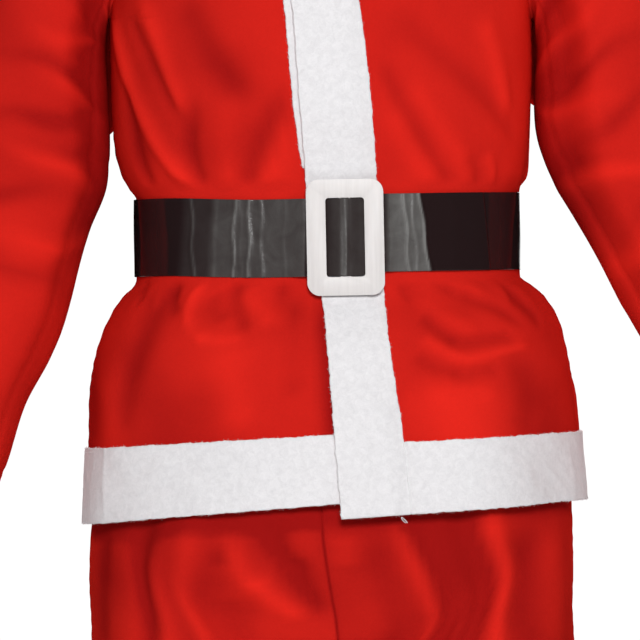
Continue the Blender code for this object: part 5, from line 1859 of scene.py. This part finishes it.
# ---- stage ----
# name, place, aimed at, width and height, watts
LIGHTS = [
    ("key", (0.15, -3.40, 0.45), (0, 0, -0.5), (0.8, 0.8), 84.0),
    ("belt_glint", (0.75, 3.0, -0.2), (0, 0, -0.4), (1.0, 1.2), 8.0),
    ("back_edge", (1.8, 3.0, 0.4), (0, 0, -0.5), (2.4, 2.8), 46.0),
    ("back_fill", (-1.8, 3.0, 0.6), (0, 0, -0.5), (2.6, 2.8), 44.0),
]
FRAMED_X, FRAMED_Z, FRAMED_WIDTH = -0.0072, -0.4947, 0.576  # what the camera takes in
SENSOR_WIDTH, FURTHEST_SEEN = 36, 500
FLOOR_HALF, FLOOR_DROP, FLOOR_GREY = 2.6, 0.012, 0.80
SURROUND_RADIUS, SURROUND_GLOW = 160, 1.05


def make_world(fill):
    """Even light from all round, seen white by the camera and not mirrored by the vinyl."""
    world = bpy.data.worlds.new("studio")
    world.use_nodes = True
    tree = world.node_tree
    seen = add(tree, "ShaderNodeLightPath").outputs["Is Camera Ray"]
    glow = tree.nodes["Background"]
    glow.inputs["Color"].default_value = (1.0, 1.0, 1.0, 1)
    tree.links.new(mixed(tree, seen, fill, SURROUND_GLOW), glow.inputs["Strength"])
    world.cycles_visibility.glossy = False
    return world


def make_floor():
    """A plain pale floor just under the trouser hems."""
    data = bpy.data.meshes.new("floor")
    half, level = FLOOR_HALF, TROUSER_HEM - FLOOR_DROP
    corners = [(-half, -half, level), (half, -half, level), (half, half, level), (-half, half, level)]
    data.from_pydata(corners, [], [(0, 1, 2, 3)])
    material, _, _ = new_material("floor_paint", Roughness=0.7, Base_Color=(*[FLOOR_GREY] * 3, 1))
    data.materials.append(material)
    return placed("floor", data)


def make_surround():
    """A far white surround that is seen but gives no light."""
    mesh = bmesh.new()
    bmesh.ops.create_uvsphere(mesh, u_segments=48, v_segments=24, radius=SURROUND_RADIUS)
    bmesh.ops.reverse_faces(mesh, faces=mesh.faces)
    data = bpy.data.meshes.new("backdrop")
    mesh.to_mesh(data)
    mesh.free()
    material = bpy.data.materials.new("backdrop_white")
    material.use_nodes = True
    tree = material.node_tree
    tree.nodes.clear()
    glow = add(tree, "ShaderNodeEmission", {"Color": (1, 1, 1, 1), "Strength": SURROUND_GLOW})
    add(tree, "ShaderNodeOutputMaterial", {"Surface": glow.outputs[0]})
    data.materials.append(material)
    item = placed("backdrop", data)
    item.visible_diffuse = item.visible_glossy = item.visible_shadow = False
    item.visible_transmission = False
    return item


def place_light(name, place, target, size, power):
    """A soft rectangular light; the ones behind aren't mirrored by the vinyl."""
    light = bpy.data.lights.new(name, "AREA")
    light.shape = "RECTANGLE"
    light.size, light.size_y = size
    light.energy = power
    item = placed(name, light)
    item.location = place
    item.rotation_euler = (Vector(target) - Vector(place)).to_track_quat("-Z", "Y").to_euler()
    item.visible_glossy = not name.startswith("back")


def place_camera(distance):
    """A level long-lens camera square to the front."""
    camera = bpy.data.cameras.new("camera")
    camera.sensor_width = SENSOR_WIDTH
    camera.lens = SENSOR_WIDTH * distance / FRAMED_WIDTH
    camera.clip_end = FURTHEST_SEEN
    item = placed("camera", camera)
    item.location = (FRAMED_X, -distance, FRAMED_Z)
    item.rotation_euler = (math.radians(90), 0, 0)
    bpy.context.scene.camera = item


# ---- the add-on ----
class SUIT_PT_panel(bpy.types.Panel):
    """The suit's buttons."""
    bl_idname, bl_label = "SUIT_PT_panel", "Santa suit"
    bl_space_type, bl_region_type, bl_category = "VIEW_3D", "UI", "Suit"

    def draw(self, context):
        for name in SuitSettings.__annotations__:
            self.layout.prop(context.scene.santa_suit, name)
        for operator in STEPS:
            self.layout.operator(operator.bl_idname)


STEPS = (SUIT_OT_jacket, SUIT_OT_bands, SUIT_OT_sleeves, SUIT_OT_trousers, SUIT_OT_belt,
         SUIT_OT_sewing, SUIT_OT_stage)
CLASSES = (SuitSettings, *STEPS, SUIT_PT_panel)


def register():
    for item in CLASSES:
        bpy.utils.register_class(item)
    bpy.types.Scene.santa_suit = bpy.props.PointerProperty(type=SuitSettings)


def unregister():
    del bpy.types.Scene.santa_suit
    for item in reversed(CLASSES):
        bpy.utils.unregister_class(item)


def main():
    """Build every piece in order."""
    register()
    for step in STEPS:
        group, name = step.bl_idname.split(".")
        getattr(getattr(bpy.ops, group), name)()


if __name__ == "__main__":
    main()
